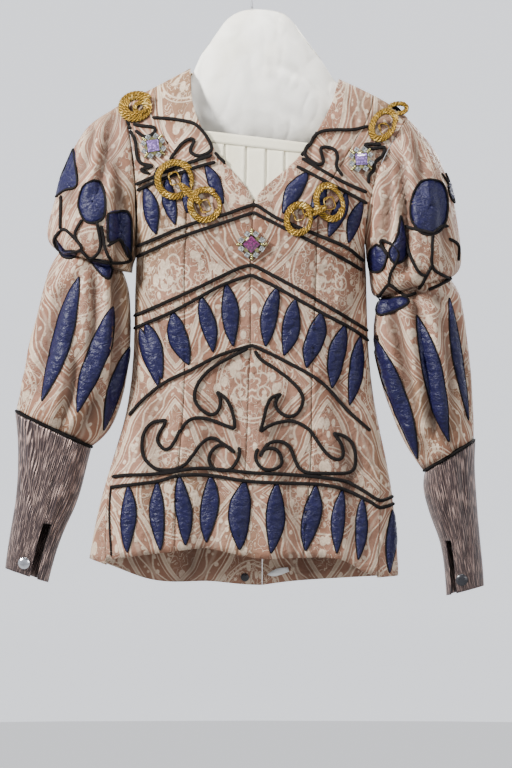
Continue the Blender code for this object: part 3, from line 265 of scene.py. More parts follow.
# Cords at the vent and round the side seam, with the leaf that hangs there
VENT_CORD = [(-194, -739), (-196, -772), (-195, -806), (-193, -833)]
HEM_WRAP = (
    [(166, -752), (171, -755), (178, -757), (196, -751)],
    [(166, -761), (171, -765), (178, -767), (198, -761)],
)
WRAP_LEAF = (193, -770, 190, -857, 15)
# Painted shadows: black cord laid along the knots' edges as the dark shade round them
KNOT_SHADOWS = (
    [(-176, -205), (-186, -214), (-189, -228), (-180, -241), (-166, -246)],
    [(-128, -300), (-133, -316), (-126, -332), (-110, -342)],
    [(200, -202), (212, -212), (205, -224)],
)
# Half thickness and twist length of the rope
ROPE_PLY = 2.4
ROPE_PITCH = 14.0

# Jewels: x, z, half width, turn in degrees, stone
JEWELS = {
    "jewel_left": (-135, -271, 13, 8, "lilac"),
    "jewel_right": (149, -289, 13, 4, "lilac"),
    "jewel_centre": (0, -406, 14, 45, "plum"),
}

BODY_CLOTH = ("front_centre_left", "front_centre_right", "front_side_left", "front_side_right")
BACK_CLOTH = ("back_left", "back_right")
SLEEVE_CLOTH = ("upper_puff_left", "upper_puff_right")
LOWER_CLOTH = ("lower_puff_left", "lower_puff_right")

# Names of the maps and marks that pieces carry
CLOTH_MAP = "cloth"
ROPE_MAP = "rope"

# The damask: height of its middle medallion, and half width of its bands in repeats
MEDALLION_Z = -0.446
BAND = 0.105
LIGHTER_ROSE = (0.29, 0.155, 0.102)
# Painted shade: the brown that the brocade darkens to in its folds
PAINTED_FOLD_SHADOW = (0.075, 0.036, 0.022)

# Waves in a metre of cloth or rope, in radians
WARP_WAVES = 5200
WEFT_WAVES = 4700
PLAIT_WAVES = 2300
THREAD_WAVES = 3000
RIB_WAVES = 1750

# The sweep's rows, radius and height; the lamps' places, sizes and watts; the view
SWEEP = ((5.0, -1.45), (10.5, -1.45), (12.0, -1.35), (13.0, -1.05), (13.6, -0.5), (13.8, 0.2),
         (13.8, 8.0))
SWEEP_SIDES = 64
PAPER_TONES = ((0.44, 0.45, 0.47), (0.47, 0.48, 0.50))
GLOW_IN_FRONT = (0.42, 0.43, 0.46)
GLOW_BEHIND = (0.94, 0.955, 1.0)
SKY_TONE = (0.86, 0.90, 1.0, 1)
SKY_STRENGTH = 0.30
LAMPS = {
    "key": ((-2.1, -1.4, 0.9), 0.5, 215),
    "fill": ((2.2, -2.6, 0.2), 1.6, 42),
    "top": ((0.3, -0.5, 1.8), 0.8, 60),
    "behind": ((1.2, 2.2, 0.7), 1.2, 60),
}
LAMP_TARGET = Vector((0, 0, -0.5))
SENSOR = 36
VIEW_CENTRE_X = 0.0055
VIEW_CENTRE_Z = -0.5967
VIEW_HEIGHT = 1.0598
FRONT_DEPTH = 0.012

# Where a ray meets the garment: its start, where the rear cloth begins, the largest step in from the
# last place of a trim, and the depth guessed for its first place, all y in metres
RAY_START = -0.3
REAR_FROM = 0.012
LARGEST_STEP = 0.022
FIRST_DEPTH = -0.03

# Half sizes of an arm in millimetres and of the body in metres, across and deep; beyond SIDE_FROM of
# its half width the body's folds also lean sideways
ARM_HALF = (90.0, 62.0)
BODY_HALF = (0.19, 0.045)
SIDE_FROM = 0.55
SIDE_GAIN = 1.3

# The cloth map: where an arm's front lies on it, and how the body's sides are let out on it
ARM_SHIFT = 0.109
SIDE_DEPTH = 0.060
SIDE_STRETCH = 0.45

# A leaf's columns and row spacing, an inlay's rings, how far their edges lie over and under the cloth
LEAF_COLUMNS = 11
LEAF_PITCH = 2.2
INLAY_RINGS = 7
SATIN_OVER = 0.0006
SATIN_UNDER = 0.0002

# A jewel in shares of its half width: stone, its bevel, white stones and their reach and spread,
# claws from and to, their beads, base and its bevel
STONE_SHARE, STONE_BEVEL = 0.86, 0.16
WHITE_SHARE, WHITE_REACH, WHITE_SPREAD = 0.34, 1.02, 0.42
CLAW_FROM, CLAW_TO, BEAD_SHARE = 1.02, 1.42, 0.15
BASE_SHARE, BASE_BEVEL = 1.34, 0.2
STONE_HIGH, WHITE_HIGH, BASE_HIGH = 0.006, 0.0035, 0.0022
STONE_LIFT, CLAW_LIFT = 0.0026, 0.0006

FINISHES = {}


def tone_property(name, description, default):
    return FloatVectorProperty(name=name, description=description, default=default,
                               subtype="COLOR", size=3, min=0, max=1)


def length_property(name, description, default, least, most):
    return FloatProperty(name=name, description=description, default=default,
                         unit="LENGTH", min=least, max=most)


class DoubletColours(bpy.types.PropertyGroup):
    rose: tone_property("Rose", "Brocade ground", (0.222, 0.102, 0.060))
    cream: tone_property("Cream", "Brocade figures", (0.60, 0.48, 0.35))
    olive: tone_property("Olive", "Aged patches of the brocade", (0.17, 0.115, 0.048))
    navy: tone_property("Navy", "Satin of the leaves", (0.003, 0.0032, 0.016))
    cord: tone_property("Cord", "Braided cord", (0.0035, 0.0025, 0.0025))
    gold: tone_property("Gold", "Metallic rope", (0.72, 0.43, 0.06))
    calico: tone_property("Calico", "Hanger cover and front", (0.97, 0.94, 0.86))
    lame: tone_property("Lame", "Cuff cloth", (0.12, 0.078, 0.070))


class DoubletSizes(bpy.types.PropertyGroup):
    motif_width: length_property("Motif width", "Width of one brocade repeat", 0.218, 0.05, 0.6)
    motif_height: length_property("Motif height", "Height of one brocade repeat", 0.300, 0.05, 0.8)
    satin_rise: length_property("Satin rise", "Height of a leaf over the cloth", 0.0034, 0.0005, 0.01)
    camera_distance: length_property("Camera distance", "From the hook to the camera", 6.0, 1, 12)


def colours():
    return bpy.context.scene.doublet_colours


def sizes():
    return bpy.context.scene.doublet_sizes


class Field:
    """A number that shader nodes work out, so that a pattern is written as a formula."""

    def __init__(self, tree, socket):
        self.tree = tree
        self.socket = socket

    def maths(self, operation, *others, clamp=False):
        node = self.tree.nodes.new("ShaderNodeMath")
        node.operation = operation
        node.use_clamp = clamp
        for place, value in enumerate((self,) + others):
            if isinstance(value, Field):
                self.tree.links.new(value.socket, node.inputs[place])
            else:
                node.inputs[place].default_value = value
        return Field(self.tree, node.outputs[0])

    def __add__(self, other):
        return self.maths("ADD", other)

    def __sub__(self, other):
        return self.maths("SUBTRACT", other)

    def __mul__(self, other):
        return self.maths("MULTIPLY", other)

    def __truediv__(self, other):
        return self.maths("DIVIDE", other)

    def size(self):
        return self.maths("ABSOLUTE")

    def under(self, limit, soft):
        """1 where the field is under limit, 0 over it, with a soft step."""
        node = self.tree.nodes.new("ShaderNodeMapRange")
        node.interpolation_type = "SMOOTHSTEP"
        node.inputs["From Min"].default_value = limit - soft
        node.inputs["From Max"].default_value = limit + soft
        node.inputs["To Min"].default_value = 1
        node.inputs["To Max"].default_value = 0
        self.tree.links.new(self.socket, node.inputs["Value"])
        return Field(self.tree, node.outputs["Result"])

    def over(self, limit, soft):
        """1 where the field is over limit, 0 under it."""
        return self.under(limit, soft) * -1 + 1

    def line(self, at, half, soft):
        """1 within half of the value at, 0 elsewhere."""
        return (self - at).size().under(half, soft)

    def either(self, other):
        return self.maths("MAXIMUM", other)

    def both(self, other):
        return self.maths("MULTIPLY", other)


class Finish:
    """One material, and the few kinds of nodes that the cloths, cords and metals are built from."""

    def __init__(self, name, roughness, metallic=0.0, sheen=0.0, specular=0.5):
        self.material = bpy.data.materials.new(name)
        self.material.use_nodes = True
        self.tree = self.material.node_tree
        self.shader = self.tree.nodes["Principled BSDF"]
        self.shader.inputs["Roughness"].default_value = roughness
        self.shader.inputs["Metallic"].default_value = metallic
        self.shader.inputs["Sheen Weight"].default_value = sheen
        self.shader.inputs["Specular IOR Level"].default_value = specular

    def place(self, uv_name=None):
        """Where a point is on the named map, or else on the object."""
        if uv_name:
            node = self.tree.nodes.new("ShaderNodeUVMap")
            node.uv_map = uv_name
            return node.outputs["UV"]
        return self.tree.nodes.new("ShaderNodeTexCoord").outputs["Object"]

    def mark(self, name):
        """A number kept at each point of the piece."""
        node = self.tree.nodes.new("ShaderNodeAttribute")
        node.attribute_name = name
        return Field(self.tree, node.outputs["Fac"])

    def stretched(self, place, scale):
        node = self.tree.nodes.new("ShaderNodeMapping")
        node.inputs["Scale"].default_value = scale
        self.tree.links.new(place, node.inputs["Vector"])
        return node.outputs["Vector"]

    def parts(self, place):
        node = self.tree.nodes.new("ShaderNodeSeparateXYZ")
        self.tree.links.new(place, node.inputs[0])
        return [Field(self.tree, node.outputs[k]) for k in range(3)]

    def cloud(self, place, scale, detail=3.0, warp=0.0):
        node = self.tree.nodes.new("ShaderNodeTexNoise")
        node.inputs["Scale"].default_value = scale
        node.inputs["Detail"].default_value = detail
        node.inputs["Distortion"].default_value = warp
        self.tree.links.new(place, node.inputs["Vector"])
        return Field(self.tree, node.outputs["Fac"])

    def cells(self, place, scale):
        node = self.tree.nodes.new("ShaderNodeTexVoronoi")
        node.inputs["Scale"].default_value = scale
        self.tree.links.new(place, node.inputs["Vector"])
        return Field(self.tree, node.outputs["Distance"])

    def blend(self, share, first, second):
        """The first colour where share is 0, and the second where it is 1."""
        node = self.tree.nodes.new("ShaderNodeMix")
        node.data_type = "RGBA"
        if isinstance(share, Field):
            self.tree.links.new(share.socket, node.inputs["Factor"])
        else:
            node.inputs["Factor"].default_value = share
        for socket, value in ((node.inputs[6], first), (node.inputs[7], second)):
            if hasattr(value, "is_output"):
                self.tree.links.new(value, socket)
            else:
                socket.default_value = (*value, 1)
        return node.outputs[2]

    def colour(self, value):
        if hasattr(value, "is_output"):
            self.tree.links.new(value, self.shader.inputs["Base Color"])
        else:
            self.shader.inputs["Base Color"].default_value = (*value, 1)

    def relief(self, height, distance, strength=1.0):
        node = self.tree.nodes.new("ShaderNodeBump")
        node.inputs["Distance"].default_value = distance
        node.inputs["Strength"].default_value = strength
        self.tree.links.new(height.socket, node.inputs["Height"])
        self.tree.links.new(node.outputs["Normal"], self.shader.inputs["Normal"])

    def rough(self, field, least, most):
        node = self.tree.nodes.new("ShaderNodeMapRange")
        node.inputs["To Min"].default_value = least
        node.inputs["To Max"].default_value = most
        self.tree.links.new(field.socket, node.inputs["Value"])
        self.tree.links.new(node.outputs["Result"], self.shader.inputs["Roughness"])


def damask(paint, place):
    """Figure of a mirrored ogee damask, 0 ground and 1 figure, and the nearness to a band."""
    wide, high = sizes().motif_width, sizes().motif_height
    flow = paint.cloud(place, 26, 2.0)
    across, down, _ = paint.parts(place)
    u = (across.size() + (flow - 0.5) * 0.006) / wide
    v = (down - MEDALLION_Z + (flow - 0.5) * 0.005) / high
    bend = (v * (4 * math.pi)).maths("SINE") * 0.045
    rise = v + bend
    strips = []
    for strip in (u - rise, u + rise):
        strips.append((strip - strip.maths("ROUND")).size())
    near = strips[0].maths("MINIMUM", strips[1])
    outline = near.line(BAND, 0.005, 0.003).either(near.line(BAND - 0.024, 0.003, 0.003))
    outline = outline.either(near.line(BAND + 0.024, 0.003, 0.003))
    vine = (near - 0.036 - (v * 38).maths("SINE") * 0.020).size().under(0.0065, 0.004)
    berries = paint.cells(place, 92)
    leaves = berries.under(0.30, 0.06).both(near.under(0.066, 0.006))
    band = vine.either(leaves).both(near.under(0.072, 0.004))
    cell_u = ((u - 0.5).maths("ROUND") * -1 + u - 0.5) * (wide / MM)
    cell_v = (v - v.maths("ROUND")) * (high / MM)
    flip_u = (u - u.maths("ROUND")) * (wide / MM)
    flip_v = ((v - 0.5).maths("ROUND") * -1 + v - 0.5) * (high / MM)
    figures = []
    for x, z, ring_size in ((cell_u, cell_v, 52.0), (flip_u, flip_v, 44.0)):
        far = (x * x + z * z * 0.82).maths("SQRT")
        turn = z.maths("ARCTAN2", x)
        petals = (turn * 2.5 + 0.6).maths("SINE").size() * 9 + 15
        rings = far.line(ring_size, 1.1, 0.6).either(far.line(ring_size + 5, 0.7, 0.5))
        palm = (far - petals).line(0, 1.3, 0.7).either((far * 0.62 - petals * 0.3).line(0, 0.9, 0.6))
        lower = z + 13
        buds = ((x.size() - 17) * (x.size() - 17) + lower * lower).maths("SQRT")
        buds = buds.line(9, 1.1, 0.6).either(buds.under(3.6, 0.6))
        sprays = paint.cells(place, 120).line(0.42, 0.05, 0.04).both(far.line(41, 8, 2))
        figures.append(rings.either(palm).either(buds).either(sprays)
                       .both(far.under(ring_size + 7, 1)))
    sprig = paint.cells(paint.stretched(place, (1.0, 0.62, 1.0)), 84)
    sprig = (sprig + (flow - 0.5) * 0.9).under(0.34, 0.04)
    field = figures[0].either(figures[1])
    curl = paint.cloud(paint.stretched(place, (1.0, 0.8, 1.0)), 52, 1.0, 1.4)
    curl = curl.line(0.5, 0.012, 0.008).either(curl.line(0.62, 0.008, 0.007))
    loose = sprig.either(curl).both(near.over(BAND + 0.03, 0.01))
    figure = outline.either(band).either(field.both(near.under(BAND, 0.004) * -1 + 1))
    return figure.either(loose), near


def brocade():
    paint = Finish("rose_brocade", 0.62, sheen=0.04, specular=0.3)
    tone = colours()
    place = paint.place(CLOTH_MAP)
    spot = paint.place()
    figure, near = damask(paint, place)
    worn = paint.cloud(spot, 9, 4.0, 0.6)
    fleck = paint.cloud(spot, 420, 2.0)
    ground = paint.blend(worn.over(0.47, 0.08) * 0.55, tuple(tone.rose), LIGHTER_ROSE)
    aged = paint.cloud(spot, 4.2, 2.0)
    ground = paint.blend(aged.over(0.57, 0.07) * 0.45, ground, tuple(tone.olive))
    paler = near.line(BAND + 0.013, 0.013, 0.004).either(near.under(0.012, 0.01) * 0.5)
    ground = paint.blend(paler * 0.6, ground, tuple(tone.cream))
    thread = figure * ((fleck - 0.5) * 1.1 + 0.86)
    cloth = paint.blend(thread.maths("MULTIPLY", 0.92, clamp=True), ground, tuple(tone.cream))
    # Painted shade: the cloth darkens towards brown in its folds, by their marked depth
    cloth = paint.blend(paint.mark(FOLD_SHADE) * 0.78, cloth, PAINTED_FOLD_SHADOW)
    weave_u, weave_v, _ = paint.parts(place)
    warp = (weave_u * WARP_WAVES).maths("SINE") * 0.5 + (weave_v * WEFT_WAVES).maths("SINE") * 0.5
    height = figure * 0.5 + warp * 0.1 + fleck * 0.3 + paint.cloud(spot, 70, 3.0, 0.8) * 6.5
    paint.colour(cloth)
    paint.relief(height, 0.0005, 0.9)
    paint.rough(figure, 0.66, 0.46)
    return paint.material


def navy_satin():
    paint = Finish("navy_satin", 0.42, specular=0.26)
    spot = paint.place()
    crush = paint.cloud(paint.stretched(spot, (1.0, 1.0, 1.7)), 95, 3.0, 1.6)
    # The crush raises the satin, and its ridges are painted a lighter navy as painted sheen
    paint.colour(paint.blend(crush, tuple(colours().navy), (0.011, 0.010, 0.058)))
    paint.relief(crush + paint.cloud(spot, 900, 1.0) * 0.06, 0.0022, 0.9)
    return paint.material


def black_cord():
    paint = Finish("black_cord", 0.75, specular=0.15)
    turn, along, _ = paint.parts(paint.place(ROPE_MAP))
    turns = turn * (4 * math.pi)
    plait = (turns + along * PLAIT_WAVES).maths("SINE") * (turns - along * PLAIT_WAVES).maths("SINE")
    paint.colour(paint.blend(plait * 0.5 + 0.5, tuple(colours().cord), (0.014, 0.011, 0.010)))
    paint.relief(plait, 0.0006, 0.9)
    return paint.material


def gold_rope():
    paint = Finish("gold_rope", 0.34, metallic=0.7)
    turn, along, _ = paint.parts(paint.place(ROPE_MAP))
    thread = (turn * (10 * math.pi) + along * THREAD_WAVES).maths("SINE")
    crown = (turn - 0.25).size().under(0.15, 0.07)
    dull = paint.cloud(paint.place(), 120, 2.0)
    # Painted shade: the threads darken to brown in the grooves between them, whose relief is real
    tone = paint.blend(thread * 0.5 + 0.5, (0.10, 0.045, 0.008), tuple(colours().gold))
    tone = paint.blend(dull.under(0.40, 0.06) * 0.6, tone, (0.85, 0.62, 0.20))
    # Painted shade: each ply is near black on its sides and underside, keeping its gold only on the crown
    # that faces out of the cloth
    paint.colour(paint.blend(crown, (0.022, 0.012, 0.005), tone))
    paint.relief(thread, 0.0006, 0.8)
    return paint.material


def ribbed_lame():
    paint = Finish("bronze_lame", 0.42, metallic=0.45, sheen=0.1)
    place = paint.place(CLOTH_MAP)
    around, _, _ = paint.parts(place)
    sway = paint.cloud(paint.stretched(place, (1.0, 0.35, 1.0)), 70, 2.0, 0.5)
    rib = ((around + (sway - 0.5) * 0.004) * RIB_WAVES).maths("SINE")
    crush = paint.cloud(paint.stretched(place, (1.0, 0.07, 1.0)), 420, 3.0, 0.5)
    # Painted glints: the rib crests and crushed highs keep the lamé's tone over a near black ground
    glint = (rib * 0.28 + crush).over(0.62, 0.14)
    base = paint.blend(glint, (0.035, 0.022, 0.022), tuple(colours().lame))
    # Painted glints: long pale streaks along the ribs
    glint_streaks = paint.cloud(paint.stretched(place, (1.0, 0.06, 1.0)), 700, 2.0)
    paint.colour(paint.blend(glint_streaks.over(0.58, 0.05) * 0.85, base, (0.52, 0.36, 0.30)))
    paint.relief(rib * 0.5 + crush, 0.0012, 0.9)
    return paint.material


def plain_cloth(name, tone, shade, weave, wrinkle):
    paint = Finish(name, 0.85, sheen=0.03, specular=0.2)
    spot = paint.place()
    x, _, z = paint.parts(spot)
    threads = (x * weave).maths("SINE") * 0.5 + (z * weave).maths("SINE") * 0.5
    stain = paint.cloud(spot, 11, 3.0, 0.4)
    paint.colour(paint.blend(stain.over(0.52, 0.12) * 0.6, tone, shade))
    paint.relief(threads * 0.12 + paint.cloud(spot, wrinkle, 4.0, 0.7), 0.0009, 0.8)
    return paint.material


def cut_stone(name, tone, metallic=0.0):
    paint = Finish(name, 0.05, metallic=metallic, specular=0.8)
    facets = paint.cells(paint.place(), 330)
    glint = facets.under(0.42, 0.12)
    paint.colour(paint.blend(glint, tuple(part * 0.35 for part in tone), tone))
    paint.shader.inputs["Coat Weight"].default_value = 1.0
    paint.rough(facets, 0.02, 0.10)
    return paint.material


def worn_metal(name, tone, roughness):
    paint = Finish(name, roughness, metallic=1.0)
    scratch = paint.cloud(paint.stretched(paint.place(), (1.0, 1.0, 0.25)), 800, 3.0)
    paint.colour(paint.blend(scratch, tuple(part * 0.75 for part in tone), tone))
    paint.rough(scratch, roughness * 0.7, roughness * 1.4)
    paint.relief(scratch, 0.0001, 0.4)
    return paint.material


def dark_plastic(name, tone):
    paint = Finish(name, 0.28, specular=0.5)
    haze = paint.cloud(paint.place(), 600, 2.0)
    paint.colour(paint.blend(haze, tone, tuple(part * 1.8 for part in tone)))
    paint.rough(haze, 0.18, 0.42)
    return paint.material


def finish(name):
    """The material of that name, made once."""
    if name not in FINISHES:
        calico = tuple(colours().calico)
        makers = {
            "brocade": brocade,
            "navy": navy_satin,
            "cord": black_cord,
            "gold": gold_rope,
            "lame": ribbed_lame,
            "cream": lambda: plain_cloth("cream_front", (0.76, 0.71, 0.55), (0.66, 0.60, 0.42), 9000, 60),
            "calico": lambda: plain_cloth("calico_cover", calico, (0.76, 0.72, 0.60), 7000, 45),
            "tape": lambda: plain_cloth("white_tape", (0.80, 0.80, 0.78), (0.62, 0.62, 0.60), 4200, 300),
            "lilac": lambda: cut_stone("lilac_stone", (0.30, 0.17, 0.52)),
            "plum": lambda: cut_stone("plum_stone", (0.16, 0.008, 0.10)),
            "clear": lambda: cut_stone("clear_stone", (0.80, 0.83, 0.78), 0.8),
            "claw": lambda: worn_metal("olive_gold_metal", (0.50, 0.45, 0.20), 0.25),
            "silver": lambda: worn_metal("silver_metal", (0.72, 0.72, 0.74), 0.18),
            "wire": lambda: worn_metal("steel_wire", (0.62, 0.62, 0.64), 0.3),
            "black": lambda: dark_plastic("black_gloss", (0.012, 0.012, 0.014)),
        }
        FINISHES[name] = makers[name]()
    return FINISHES[name]


def clear_selection():
    if bpy.context.object and bpy.context.object.mode != "OBJECT":
        bpy.ops.object.mode_set(mode="OBJECT")
    bpy.ops.object.select_all(action="DESELECT")


def choose(obj):
    clear_selection()
    obj.select_set(True)
    bpy.context.view_layer.objects.active = obj


def hand_over(obj, finish_name, slot_name, *nodes):
    """Dress a finished piece, hang it on the body it rides on, and hide the solids it stands for."""
    obj.data.materials.clear()
    obj.data.materials.append(finish(finish_name))
    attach(obj, BODY)
    if nodes:
        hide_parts(*nodes)


def points_of(mesh):
    flat = np.empty(len(mesh.vertices) * 3)
    mesh.vertices.foreach_get("co", flat)
    return flat.reshape(-1, 3)


def set_points(mesh, points):
    mesh.vertices.foreach_set("co", points.ravel())
    mesh.update()


def rounded_copy(node, name, levels):
    """A smooth copy of a solid, whose cut edges stay sharp."""
    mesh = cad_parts[node].data.copy()
    obj = bpy.data.objects.new(name, mesh)
    bpy.context.scene.collection.objects.link(obj)
    choose(obj)
    bpy.ops.mesh.customdata_custom_splitnormals_clear()
    bpy.ops.object.mode_set(mode="EDIT")
    bpy.ops.mesh.select_all(action="SELECT")
    bpy.ops.mesh.remove_doubles(threshold=0.0001)
    bpy.ops.mesh.tris_convert_to_quads(face_threshold=math.radians(60), shape_threshold=math.radians(60))
    bpy.ops.object.mode_set(mode="OBJECT")
    work = bmesh.new()
    work.from_mesh(mesh)
    sharp = work.edges.layers.float.new("crease_edge")
    for edge in work.edges:
        if len(edge.link_faces) == 2 and edge.calc_face_angle(0) > math.radians(SHARP_DEGREES):
            edge[sharp] = 1.0
    work.to_mesh(mesh)
    work.free()
    rounding = obj.modifiers.new("rounding", "SUBSURF")
    rounding.levels = levels
    rounding.render_levels = levels
    bpy.ops.object.modifier_apply(modifier=rounding.name)
    for face in obj.data.polygons:
        face.use_smooth = True
    return obj


def trough(points, folds):
    """Depth in metres of the hanging folds at each point, by its place in the front view."""
    depth = np.zeros(len(points))
    across, down = points[:, 0] / MM, points[:, 2] / MM
    for x0, z0, x1, z1, half, deep in folds:
        run_x, run_z = x1 - x0, z1 - z0
        long = math.hypot(run_x, run_z)
        share = ((across - x0) * run_x + (down - z0) * run_z) / long ** 2
        inside = np.clip(share, 0, 1)
        sway = np.sin(inside * 2.6) * half * 0.5
        off = ((across - x0) * run_z - (down - z0) * run_x) / long + sway
        past = (share - inside) * long
        far = np.hypot(off, past * 0.6)
        swell = 0.45 + 0.55 * np.sin(math.pi * (0.12 + 0.8 * inside))
        depth += deep * np.exp(-(far / half) ** 2) * swell
        lip = ((off - half * 1.7) / half) ** 2 + (past / half) ** 2
        depth -= deep * 0.45 * np.exp(-lip)
    return depth * MM


def crumple(points, size, depth):
    """Small uneven wrinkles, the same on both faces of the cloth."""
    result = np.empty(len(points))
    for k, (x, y, z) in enumerate(points):
        side = 40.0 if y > 0 else 0.0
        here = Vector((x / size + side, y * 0.4 / size, z / (size * 1.7)))
        ridge = 1 - 2 * abs(noise.noise(here))
        result[k] = (ridge ** 3) * 0.7 + noise.noise(here * 0.45) * 0.9
    return result * depth * MM


def outward(node, points):
    """Direction out of the garment at each point, level across the wall."""
    if "puff" in node or "cuff" in node:
        run = LEANS[node]
        centre_x = run[0] + (points[:, 2] / MM - run[1]) * run[2]
        across = points[:, 0] / MM - centre_x
        deep = points[:, 1] / MM / ARM_HALF[1]
        level = np.stack([across / ARM_HALF[0], deep, np.zeros(len(points))], axis=1)
    else:
        across, deep = points[:, 0] / BODY_HALF[0], points[:, 1] / BODY_HALF[1]
        across = np.sign(across) * np.maximum(np.abs(across) - SIDE_FROM, 0) * SIDE_GAIN
        level = np.stack([across, deep, np.zeros(len(points))], axis=1)
    return level / np.maximum(np.linalg.norm(level, axis=1), 1e-6)[:, None]


def map_cloth(obj, node):
    """UV map in metres: along the cloth across the garment, and down it."""
    mesh = obj.data
    points = points_of(mesh)
    if node in LEANS:
        lean_x, lean_z, grow = LEANS[node]
        centre = (lean_x + (points[:, 2] / MM - lean_z) * grow) * MM
        turn = np.arctan2(points[:, 0] - centre, -points[:, 1])
        across = turn * ARM_ROUND[node[:5]] + ARM_SHIFT
        down = points[:, 2] - (points[:, 0] - centre) * grow
    else:
        reach = np.maximum(SIDE_DEPTH - np.abs(points[:, 1]), 0)
        across = points[:, 0] + np.sign(points[:, 0]) * reach * SIDE_STRETCH
        down = points[:, 2]
    layer = mesh.uv_layers.new(name=CLOTH_MAP)
    corners = np.empty(len(mesh.loops), dtype=np.int32)
    mesh.loops.foreach_get("vertex_index", corners)
    table = np.stack([across, down], axis=1)[corners]
    if node in LEANS:
        starts = np.empty(len(mesh.polygons), dtype=np.int32)
        mesh.polygons.foreach_get("loop_start", starts)
        whole_turn = 2 * math.pi * ARM_ROUND[node[:5]]
        for start, count in zip(starts, (face.loop_total for face in mesh.polygons)):
            piece = table[start:start + count, 0]
            piece[piece < piece.max() - whole_turn / 2] += whole_turn
    layer.data.foreach_set("uv", table.ravel())


def hang(obj, node, front_folds, back_folds, wrinkle):
    """Moves the cloth in by its folds and wrinkles, and marks their depth for the painted fold shade."""
    points = points_of(obj.data)
    front = points[:, 1] < 0
    depth = np.where(front, trough(points, front_folds), trough(points, back_folds))
    shallow = np.clip((np.abs(points[:, 1]) - 0.006) / 0.02, 0, 1)
    depth = depth * shallow + crumple(points, WRINKLE_SIZE, wrinkle) * np.clip(shallow + 0.3, 0, 1)
    set_points(obj.data, points - outward(node, points) * depth[:, None])
    shade = obj.data.attributes.new(FOLD_SHADE, "FLOAT", "POINT")
    shade.data.foreach_set("value", np.clip(depth / FOLD_SHADE_DEPTH, 0, 1).astype(np.float32))


class Ground:
    """The finished cloth that a trim is laid on, met from the front."""

    def __init__(self, names):
        points, faces = [], []
        for name in names:
            mesh = bpy.data.objects[name].data
            start = len(points)
            points += [tuple(v.co) for v in mesh.vertices]
            faces += [[start + k for k in face.vertices] for face in mesh.polygons]
        self.tree = BVHTree.FromPolygons(points, faces)
        self.last = None

    def at(self, x, z):
        """Point on the cloth and its direction out, for a place in millimetres."""
        start = Vector((x * MM, RAY_START, z * MM))
        spot, facing, _, _ = self.tree.ray_cast(start, Vector((0, 1, 0)))
        slipped = spot is None or spot.y > REAR_FROM
        if self.last is not None and spot is not None:
            slipped = slipped or spot.y > self.last + LARGEST_STEP
        if slipped:
            depth = self.last if self.last is not None else FIRST_DEPTH
            spot, facing, _, _ = self.tree.find_nearest(Vector((x * MM, depth, z * MM)))
        if facing.y > 0:
            facing = -facing
        self.last = spot.y
        return spot, facing

    def fresh(self):
        """Forgets the last place, for a trim that starts elsewhere."""
        self.last = None


def route(points, step, closed=False):
    """A smooth line through the points, evenly stepped."""
    spots = [np.array(p, float) for p in points]
    count = len(spots)
    line = []
    for k in range(count if closed else count - 1):
        if closed:
            a, b, c, d = (spots[(k + j) % count] for j in (-1, 0, 1, 2))
        else:
            b, c = spots[k], spots[k + 1]
            a = spots[k - 1] if k else 2 * b - c
            d = spots[k + 2] if k + 2 < count else 2 * c - b
        steps = max(1, int(round(np.linalg.norm(c - b) / step)))
        for j in range(steps):
            t = j / steps
            line.append(0.5 * (2 * b + (c - a) * t + (2 * a - 5 * b + 4 * c - d) * t * t
                               + (3 * b - a - 3 * c + d) * t ** 3))
    if not closed:
        line.append(spots[-1])
    return line


class Bag:
    """Points and faces gathered into one mesh, with the rope map on its tubes."""

    def __init__(self):
        self.points, self.faces, self.maps = [], [], []

    def face(self, corners, maps=None):
        self.faces.append(corners)
        self.maps.append(maps or [(0.0, 0.0)] * len(corners))

    def tube(self, line, ups, radius, sides=8, ends=1.0):
        """A tube along the line. ups are the directions out of the cloth."""
        count, start, along = len(line), len(self.points), 0.0
        stations = []
        for k, here in enumerate(line):
            before = line[k - 1] if k else here
            after = line[k + 1] if k + 1 < count else here
            ahead = (after - before).normalized()
            side = ahead.cross(ups[k]).normalized()
            up = side.cross(ahead)
            slim = ends if k in (0, count - 1) else 1.0
            for j in range(sides):
                turn = 2 * math.pi * j / sides
                spread = side * math.cos(turn) + up * math.sin(turn)
                self.points.append(here + spread * radius * slim)
            stations.append(along)
            along += (after - here).length
        stations.append(along)
        for k in range(count - 1):
            one, two = start + k * sides, start + (k + 1) * sides
            for j in range(sides):
                i = (j + 1) % sides
                low, high = j / sides, (j + 1) / sides
                self.face([one + j, one + i, two + i, two + j],
                          [(low, stations[k]), (high, stations[k]), (high, stations[k + 1]),
                           (low, stations[k + 1])])
        for end in (start, start + (count - 1) * sides):
            self.face([end + j for j in range(sides)])

    def patch(self, rows, back):
        """A closed cushion: rows of upper points, and the same rows of back points."""
        start, wide, deep = len(self.points), len(rows[0]), len(rows)
        for grid in (rows, back):
            for row in grid:
                self.points += row
        under = start + wide * deep
        for i in range(deep - 1):
            for j in range(wide - 1):
                a = start + i * wide + j
                b = under + i * wide + j
                self.face([a, a + 1, a + wide + 1, a + wide])
                self.face([b, b + wide, b + wide + 1, b + 1])
        rim = [j for j in range(wide)] + [i * wide + wide - 1 for i in range(1, deep)]
        rim += [(deep - 1) * wide + j for j in range(wide - 2, -1, -1)]
        rim += [i * wide for i in range(deep - 2, 0, -1)]
        for k, one in enumerate(rim):
            two = rim[(k + 1) % len(rim)]
            self.face([start + one, under + one, under + two, start + two])

    def make(self, name):
        mesh = bpy.data.meshes.new(name)
        mesh.from_pydata([tuple(p) for p in self.points], [], self.faces)
        layer = mesh.uv_layers.new(name=ROPE_MAP)
        layer.data.foreach_set("uv", [part for face in self.maps for pair in face for part in pair])
        obj = bpy.data.objects.new(name, mesh)
        bpy.context.scene.collection.objects.link(obj)
        choose(obj)
        bpy.ops.object.mode_set(mode="EDIT")
        bpy.ops.mesh.select_all(action="SELECT")
        bpy.ops.mesh.remove_doubles(threshold=0.00001)
        bpy.ops.mesh.dissolve_degenerate(threshold=0.00001)
        bpy.ops.mesh.normals_make_consistent(inside=False)
        bpy.ops.object.mode_set(mode="OBJECT")
        for face in mesh.polygons:
            face.use_smooth = True
        return obj


